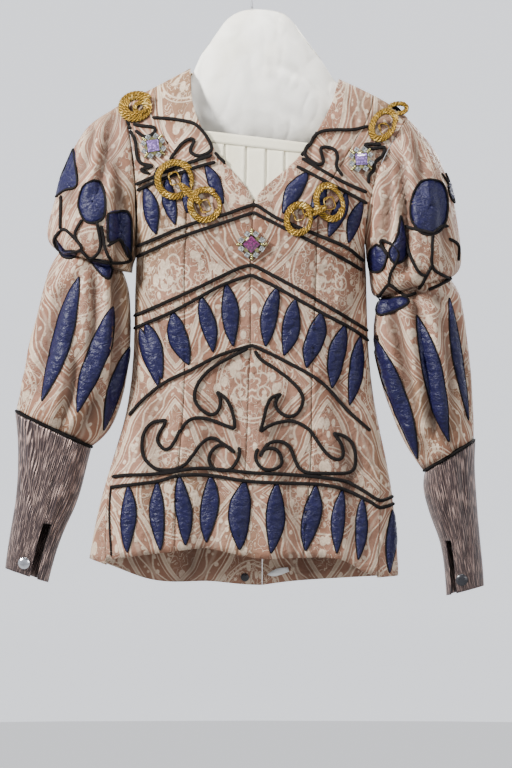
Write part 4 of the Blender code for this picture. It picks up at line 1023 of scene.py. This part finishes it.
def lay_cord(bag, ground, points, half=CORD_HALF, lift=0.75):
    """A cord laid on the cloth along the points."""
    ground.fresh()
    line, ups = [], []
    for x, z in route(points, CORD_STEP):
        spot, out = ground.at(x, z)
        ups.append(out)
        line.append(spot + out * half * lift * MM)
    for _ in range(2):
        line = [line[0]] + [(line[k - 1] + line[k] * 2 + line[k + 1]) / 4
                            for k in range(1, len(line) - 1)] + [line[-1]]
    wobble = [1 + 0.07 * noise.noise(Vector((p.x * 300, p.z * 300, 5))) for p in line]
    bag.tube(line, ups, half * MM * (sum(wobble) / len(wobble)), ends=0.6)


def ruche(x, z, seed):
    """Height of the gathered satin, from 0 to about 1."""
    here = Vector((x * 0.11 + seed * 7.3, z * 0.21 + x * 0.05, seed * 3.1))
    ridge = 1 - 2 * abs(noise.noise(here))
    fine = 1 - 2 * abs(noise.noise(here * 2.3))
    return ridge * 0.7 + fine * 0.3


def lay_leaf(bag, edge, ground, leaf, seed):
    """A gathered satin leaf between its top and its tip, with a stitched edge."""
    top_x, top_z, tip_x, tip_z, width = leaf
    long = math.hypot(tip_x - top_x, tip_z - top_z)
    ahead_x, ahead_z = (tip_x - top_x) / long, (tip_z - top_z) / long
    rows_count = max(12, int(long / LEAF_PITCH))
    rows, back, sides = [], [], ([], [])
    rise = sizes().satin_rise
    ground.fresh()
    for i in range(rows_count + 1):
        share = i / rows_count
        half = width / 2 * math.sin(math.pi * share ** 0.94) ** 0.82
        half = max(half * (1 + 0.10 * noise.noise(Vector((share * 5, seed * 2.7, 1)))), 0.25)
        sway = width * 0.07 * math.sin(share * 5.2 + seed * 2.1)
        row, under = [], []
        for j in range(LEAF_COLUMNS):
            across = 2 * j / (LEAF_COLUMNS - 1) - 1
            x = top_x + ahead_x * long * share - ahead_z * (across * half + sway)
            z = top_z + ahead_z * long * share + ahead_x * (across * half + sway)
            spot, out = ground.at(x, z)
            crown = (1 - abs(across) ** 2.6) * math.sin(math.pi * share) ** 0.35
            high = SATIN_OVER + crown * rise * (0.62 + 0.62 * ruche(x, z, seed))
            row.append(spot + out * high)
            under.append(spot - out * SATIN_UNDER)
            if j in (0, LEAF_COLUMNS - 1):
                sides[0 if j == 0 else 1].append((x, z))
        rows.append(row)
        back.append(under)
    bag.patch(rows, back)
    for line in sides:
        lay_cord(edge, ground, line[::2] + [line[-1]], half=0.95, lift=0.7)


def lay_inlay(bag, ground, outline, seed):
    """A gathered satin patch within an outline."""
    ground.fresh()
    line = route(outline, 3.0, closed=True)
    centre = sum(line) / len(line)
    rise = sizes().satin_rise
    rows, back = [], []
    for ring in range(INLAY_RINGS + 1):
        share = max(ring / INLAY_RINGS, 0.02)
        row, under = [], []
        for spot_2d in line + [line[0]]:
            x, z = centre + (spot_2d - centre) * share
            spot, out = ground.at(x, z)
            high = SATIN_OVER + (1 - share ** 3) * rise * (0.65 + 0.6 * ruche(x, z, seed))
            row.append(spot + out * high)
            under.append(spot - out * SATIN_UNDER)
        rows.append(row)
        back.append(under)
    bag.patch(rows, back)


def lay_rope(bag, ground, loop, plies=3, ply=ROPE_PLY):
    """Twisted rope wound round an ellipse on the cloth."""
    x, z, wide, high, tilt, turns, lift = loop
    lean = math.radians(tilt)
    steps = int(turns * 2 * math.pi * (wide + high) / 2 / 1.7) + 4
    spot, out = ground.at(x, z)
    out = (out + Vector((0, -1.6, 0))).normalized()
    path, ups = [], []
    for k in range(steps + 1):
        share = k / steps
        angle = 2 * math.pi * turns * share + 0.6
        shrink = 1 - 0.30 * share * max(0, turns - 1)
        a, b = math.cos(angle) * (wide - ply) * shrink, math.sin(angle) * (high - ply) * shrink
        flat = Vector((a * math.cos(lean) - b * math.sin(lean), 0,
                       a * math.sin(lean) + b * math.cos(lean)))
        flat = flat - out * flat.dot(out)
        over = lift + 1.6 * share * max(0, turns - 1) + 0.8 * math.sin(angle * 3)
        path.append(spot + (flat + out * over) * MM)
        ups.append(out)
    for strand in range(plies):
        line = []
        along = 0.0
        for k, here in enumerate(path):
            ahead = (path[min(k + 1, steps)] - path[max(k - 1, 0)]).normalized()
            side = ahead.cross(out).normalized()
            turn = 2 * math.pi * (along / ROPE_PITCH + strand / plies)
            line.append(here + (side * math.cos(turn) + out * math.sin(turn)) * ply * 0.78 * MM)
            if k < steps:
                along += (path[k + 1] - here).length / MM
        bag.tube(line, ups, ply * (0.70 if plies > 1 else 1.0) * MM, sides=6, ends=0.5)


class DOUBLET_OT_cloth(bpy.types.Operator):
    """Body panels, puffs, cuffs and pleated front, from the solids, with their hanging folds"""
    bl_idname = "doublet.cloth"
    bl_label = "Cloth"

    def execute(self, context):
        for node, (kind, levels, wide, long, area) in CLOTH.items():
            obj = rounded_copy(node, node + "_cloth", levels)
            front, back = FRONT_FOLDS, BACK_FOLDS
            if node in LEANS:
                front = [fold[:5] + (fold[5] * SLEEVE_FOLD_DEPTH,) for fold in SLEEVE_FOLDS]
                back = front
            if kind == "lame":
                front, back = CUFF_FOLDS, CUFF_FOLDS
            if kind == "cream":
                front, back = PLEAT_FOLDS, ()
            if node != "vestee_band":
                hang(obj, node, front, back, WRINKLE[kind])
            map_cloth(obj, node)
            hand_over(obj, kind, kind, node)
        return {"FINISHED"}


def ground_of(*groups):
    return Ground([node + "_cloth" for nodes in groups for node in nodes])


class DOUBLET_OT_cords(bpy.types.Operator):
    """Braided cords on the front, the yoke and the puffs, and black cord laid round the knots as painted
    shadow
    """
    bl_idname = "doublet.cords"
    bl_label = "Cords"

    def execute(self, context):
        ground = ground_of(BODY_CLOTH)
        for node, lines in {**CORDS, **LEAFED_CORDS}.items():
            bag = Bag()
            for line in lines:
                lay_cord(bag, ground, line)
            hand_over(bag.make(node + "_braid"), "cord", "cord", node)
        bag = Bag()
        # Yoke scrolls, and the painted knot shadows laid as black cord
        for line in YOKE_SCROLLS + KNOT_SHADOWS:
            lay_cord(bag, ground, line)
        wrap = ground_of(BODY_CLOTH, BACK_CLOTH)
        for line in HEM_WRAP:
            lay_cord(bag, wrap, line)
        lay_cord(bag, wrap, VENT_CORD, half=1.4)
        hand_over(bag.make("yoke_scroll_cord_and_knot_shadows"), "cord", "cord")
        bag = Bag()
        ground = ground_of(SLEEVE_CLOTH, LOWER_CLOTH)
        for line in PUFF_CORDS:
            lay_cord(bag, ground, line, half=2.3)
        for outline in INLAYS:
            lay_cord(bag, ground, outline + [outline[0]], half=1.7)
        hand_over(bag.make("puff_cord_net"), "cord", "cord")
        for side in ("left", "right"):
            node = "cuff_piping_" + side
            obj = rounded_copy(node, node + "_braid", 1)
            obj.data.uv_layers.new(name=ROPE_MAP)
            hand_over(obj, "cord", "cord", node)
        return {"FINISHED"}


class DOUBLET_OT_satin(bpy.types.Operator):
    """Gathered navy leaves and inlays, with their stitched edges"""
    bl_idname = "doublet.satin"
    bl_label = "Navy satin"

    def execute(self, context):
        ground = ground_of(BODY_CLOTH)
        edge = Bag()
        for number, (node, leaves) in enumerate(LEAVES.items()):
            bag = Bag()
            for k, leaf in enumerate(leaves):
                lay_leaf(bag, edge, ground, leaf, number * 10 + k)
            hand_over(bag.make(node + "_satin"), "navy", "navy", node)
        arms = ground_of(LOWER_CLOTH)
        bag = Bag()
        around = ground_of(BODY_CLOTH, BACK_CLOTH)
        lay_leaf(bag, edge, around, WRAP_LEAF, 48)
        for k, leaf in enumerate(SLEEVE_LEAVES):
            lay_leaf(bag, edge, arms, leaf, 50 + k)
        puffs = ground_of(SLEEVE_CLOTH, LOWER_CLOTH)
        for k, outline in enumerate(INLAYS):
            lay_inlay(bag, puffs, outline, 70 + k)
        hand_over(bag.make("sleeve_satin"), "navy", "navy")
        hand_over(edge.make("leaf_edge_stitching"), "cord", "cord")
        return {"FINISHED"}


class DOUBLET_OT_ropes(bpy.types.Operator):
    """Gold rope knots with their wire coils"""
    bl_idname = "doublet.ropes"
    bl_label = "Gold ropes"

    def execute(self, context):
        ground = ground_of(BODY_CLOTH, SLEEVE_CLOTH)
        for node, loops in KNOTS.items():
            bag = Bag()
            for loop in loops:
                ground.fresh()
                lay_rope(bag, ground, loop)
            hand_over(bag.make(node + "_rope"), "gold", "gold", node)
        bag = Bag()
        for x, z, wide, ply in COILS:
            ground.fresh()
            lay_rope(bag, ground, (x, z, wide, wide * 1.2, 20, 1.5, 5.5), plies=1, ply=ply)
        hand_over(bag.make("knot_wire_coils"), "gold", "gold")
        return {"FINISHED"}


def bevelled_block(name, size, height, bevel, turn):
    """A square cut stone, made from a primitive and laid with its back at the origin."""
    clear_selection()
    bpy.ops.mesh.primitive_cylinder_add(vertices=4, radius=size, depth=height,
                                        location=(0, 0, height / 2))
    obj = bpy.context.object
    obj.name = name
    bpy.ops.object.mode_set(mode="EDIT")
    bpy.ops.mesh.select_all(action="DESELECT")
    bpy.ops.object.mode_set(mode="OBJECT")
    for face in obj.data.polygons:
        face.select = face.normal.z > 0.9
    bpy.ops.object.mode_set(mode="EDIT")
    bpy.ops.mesh.inset(thickness=bevel, depth=0)
    bpy.ops.mesh.inset(thickness=bevel * 0.7, depth=bevel * 0.5)
    bpy.ops.object.mode_set(mode="OBJECT")
    obj.rotation_euler.z = turn
    bpy.ops.object.transform_apply(location=True, rotation=True, scale=True)
    return obj


def seat(obj, ground, x, z, lift):
    """Turns a piece made on the floor to face out of the cloth, and sets it there."""
    ground.fresh()
    spot, out = ground.at(x, z)
    out = (out + Vector((0, -1.2, 0))).normalized()
    turned = out.to_track_quat("Z", "Y").to_matrix()
    up = turned @ Vector((0, 1, 0))
    spin = math.atan2(up.dot(Vector((1, 0, 0))), up.dot(Vector((0, 0, 1))))
    level = turned.to_4x4() @ Matrix.Rotation(spin, 4, "Z")
    for vertex in obj.data.vertices:
        vertex.co = level @ vertex.co + spot + out * lift
    obj.data.update()


def joined(name, parts):
    """One piece out of several."""
    clear_selection()
    for obj in parts:
        obj.select_set(True)
    bpy.context.view_layer.objects.active = parts[0]
    bpy.ops.object.join()
    whole = bpy.context.object
    whole.name = name
    whole.data.name = name
    return whole


def small_stone(radius, place):
    """A white stone of the ring round a jewel."""
    obj = bevelled_block("stone", radius, WHITE_HIGH, radius * 0.35, 0.2)
    for vertex in obj.data.vertices:
        vertex.co += Vector(place)
    return obj


def claw_bar(start, end, radius):
    """A short bar of claw beads between two places."""
    clear_selection()
    beads = []
    steps = max(2, int((Vector(end) - Vector(start)).length / (radius * 1.7)))
    for k in range(steps + 1):
        place = Vector(start).lerp(Vector(end), k / steps)
        bpy.ops.mesh.primitive_ico_sphere_add(subdivisions=2, radius=radius, location=place)
        bead = bpy.context.object
        bpy.ops.object.transform_apply(location=True, rotation=False, scale=False)
        bpy.ops.object.shade_smooth()
        beads.append(bead)
        clear_selection()
    return joined("beads", beads)


class DOUBLET_OT_jewels(bpy.types.Operator):
    """Three cut stones in claw settings with white stones round them"""
    bl_idname = "doublet.jewels"
    bl_label = "Jewels"

    def execute(self, context):
        ground = ground_of(BODY_CLOTH)
        for node, (x, z, wide, turn, stone) in JEWELS.items():
            lean = math.radians(turn)
            half = wide * MM
            square = lean + math.pi / 4
            core = bevelled_block(node + "_stone", half * STONE_SHARE, STONE_HIGH,
                                  half * STONE_BEVEL, square)
            whites, claws = [], []
            for k in range(4):
                angle = lean + k * math.pi / 2
                reach = half * WHITE_REACH
                for off in (-half * WHITE_SPREAD, half * WHITE_SPREAD):
                    px = reach * math.cos(angle) - off * math.sin(angle)
                    py = reach * math.sin(angle) + off * math.cos(angle)
                    whites.append(small_stone(half * WHITE_SHARE, (px, py, 0.0)))
                corner = angle + math.pi / 4
                tip = Vector((math.cos(corner), math.sin(corner), 0)) * half
                claws.append(claw_bar(tip * CLAW_FROM + Vector((0, 0, 0.004)),
                                      tip * CLAW_TO + Vector((0, 0, 0.002)), half * BEAD_SHARE))
            claws.append(bevelled_block("base", half * BASE_SHARE, BASE_HIGH, half * BASE_BEVEL, square))
            white = joined(node + "_white_stones", whites)
            claw = joined(node + "_claws", claws)
            for piece, kind in ((core, stone), (white, "clear"), (claw, "claw")):
                seat(piece, ground, x, z, CLAW_LIFT if piece is claw else STONE_LIFT)
                hand_over(piece, kind, "jewel", node)
        return {"FINISHED"}


class DOUBLET_OT_fittings(bpy.types.Operator):
    """Cuff buttons, popper, tape, the padded hanger's cover and its hook"""
    bl_idname = "doublet.fittings"
    bl_label = "Fittings and hanger"

    def execute(self, context):
        cover = rounded_copy("hanger_pad", "hanger_pad_cover", 3)
        points = points_of(cover.data)
        depth = trough(points, PAD_FOLDS) + crumple(points, 0.022, WRINKLE["calico"]) * 0.7
        centre = np.stack([points[:, 0] * 0, points[:, 1], points[:, 2] * 0], axis=1)
        out = centre / np.maximum(np.linalg.norm(centre, axis=1), 1e-6)[:, None]
        set_points(cover.data, points - out * depth[:, None])
        hand_over(cover, "calico", "calico", "hanger_pad")
        for node, kind, levels in (("hook_wire", "wire", 2), ("cuff_button_left", "silver", 2),
                                   ("cuff_button_right", "black", 2), ("back_popper", "black", 1),
                                   ("back_tape", "tape", 1)):
            piece = rounded_copy(node, node + "_round", levels)
            hand_over(piece, kind, kind, node)
        return {"FINISHED"}


class DOUBLET_OT_stage(bpy.types.Operator):
    """Pale sweep, soft lights and the camera"""
    bl_idname = "doublet.stage"
    bl_label = "Stage"

    def execute(self, context):
        clear_selection()
        points, faces = [], []
        for reach, height in SWEEP:
            for k in range(SWEEP_SIDES):
                turn = 2 * math.pi * k / SWEEP_SIDES
                points.append((reach * math.cos(turn), reach * math.sin(turn), height))
        for row in range(len(SWEEP) - 1):
            for k in range(SWEEP_SIDES):
                one, two = row * SWEEP_SIDES, (row + 1) * SWEEP_SIDES
                after = (k + 1) % SWEEP_SIDES
                faces.append((one + k, one + after, two + after, two + k))
        faces.append(tuple(range(SWEEP_SIDES)))
        mesh = bpy.data.meshes.new("sweep")
        mesh.from_pydata(points, [], faces)
        sweep = bpy.data.objects.new("sweep", mesh)
        context.scene.collection.objects.link(sweep)
        for face in mesh.polygons:
            face.use_smooth = True
        paper = Finish("sweep_paper", 0.9, specular=0.1)
        grain = paper.cloud(paper.place(), 1.2, 1.0)
        paper.colour(paper.blend(grain, *PAPER_TONES))
        _, away, _ = paper.parts(paper.place())
        glow = paper.blend((away + 1.5).over(0, 1.5), GLOW_IN_FRONT, GLOW_BEHIND)
        paper.tree.links.new(glow, paper.shader.inputs["Emission Color"])
        paper.shader.inputs["Emission Strength"].default_value = 1.0
        mesh.materials.append(paper.material)
        world = bpy.data.worlds.new("studio")
        context.scene.world = world
        world.use_nodes = True
        sky = world.node_tree.nodes["Background"]
        sky.inputs["Color"].default_value = SKY_TONE
        sky.inputs["Strength"].default_value = SKY_STRENGTH
        for name, (place, size, power) in LAMPS.items():
            data = bpy.data.lights.new(name, "AREA")
            data.shape = "DISK"
            data.size = size
            data.energy = power
            lamp = bpy.data.objects.new(name, data)
            lamp.location = place
            ahead = LAMP_TARGET - Vector(place)
            lamp.rotation_euler = ahead.to_track_quat("-Z", "Y").to_euler()
            context.scene.collection.objects.link(lamp)
        data = bpy.data.cameras.new("camera")
        data.sensor_fit = "VERTICAL"
        data.sensor_height = SENSOR
        data.sensor_width = SENSOR
        camera = bpy.data.objects.new("camera", data)
        away = sizes().camera_distance
        camera.location = (VIEW_CENTRE_X, -away, VIEW_CENTRE_Z)
        camera.rotation_euler = (math.pi / 2, 0, 0)
        data.lens = SENSOR * (away - FRONT_DEPTH) / VIEW_HEIGHT
        data.clip_end = 60
        context.scene.collection.objects.link(camera)
        context.scene.camera = camera
        return {"FINISHED"}


class DOUBLET_PT_panel(bpy.types.Panel):
    """Sizes, colours and pieces of the doublet"""
    bl_label = "Doublet"
    bl_idname = "DOUBLET_PT_panel"
    bl_space_type = "VIEW_3D"
    bl_region_type = "UI"
    bl_category = "Doublet"

    def draw(self, context):
        for group in (context.scene.doublet_colours, context.scene.doublet_sizes):
            for name in group.bl_rna.properties.keys():
                if name not in ("rna_type", "name"):
                    self.layout.prop(group, name)
        for operator in OPERATORS:
            self.layout.operator(operator.bl_idname)


OPERATORS = (DOUBLET_OT_stage, DOUBLET_OT_cloth, DOUBLET_OT_fittings, DOUBLET_OT_cords, DOUBLET_OT_satin,
             DOUBLET_OT_ropes, DOUBLET_OT_jewels)
CLASSES = (DoubletColours, DoubletSizes) + OPERATORS + (DOUBLET_PT_panel,)


def register():
    for kind in CLASSES:
        bpy.utils.register_class(kind)
    bpy.types.Scene.doublet_colours = PointerProperty(type=DoubletColours)
    bpy.types.Scene.doublet_sizes = PointerProperty(type=DoubletSizes)


def unregister():
    del bpy.types.Scene.doublet_sizes
    del bpy.types.Scene.doublet_colours
    for kind in reversed(CLASSES):
        bpy.utils.unregister_class(kind)


def main():
    register()
    doublet = bpy.ops.doublet
    for build in (doublet.stage, doublet.cloth, doublet.fittings, doublet.cords, doublet.satin,
                  doublet.ropes, doublet.jewels):
        build()


if __name__ == "__main__":
    main()
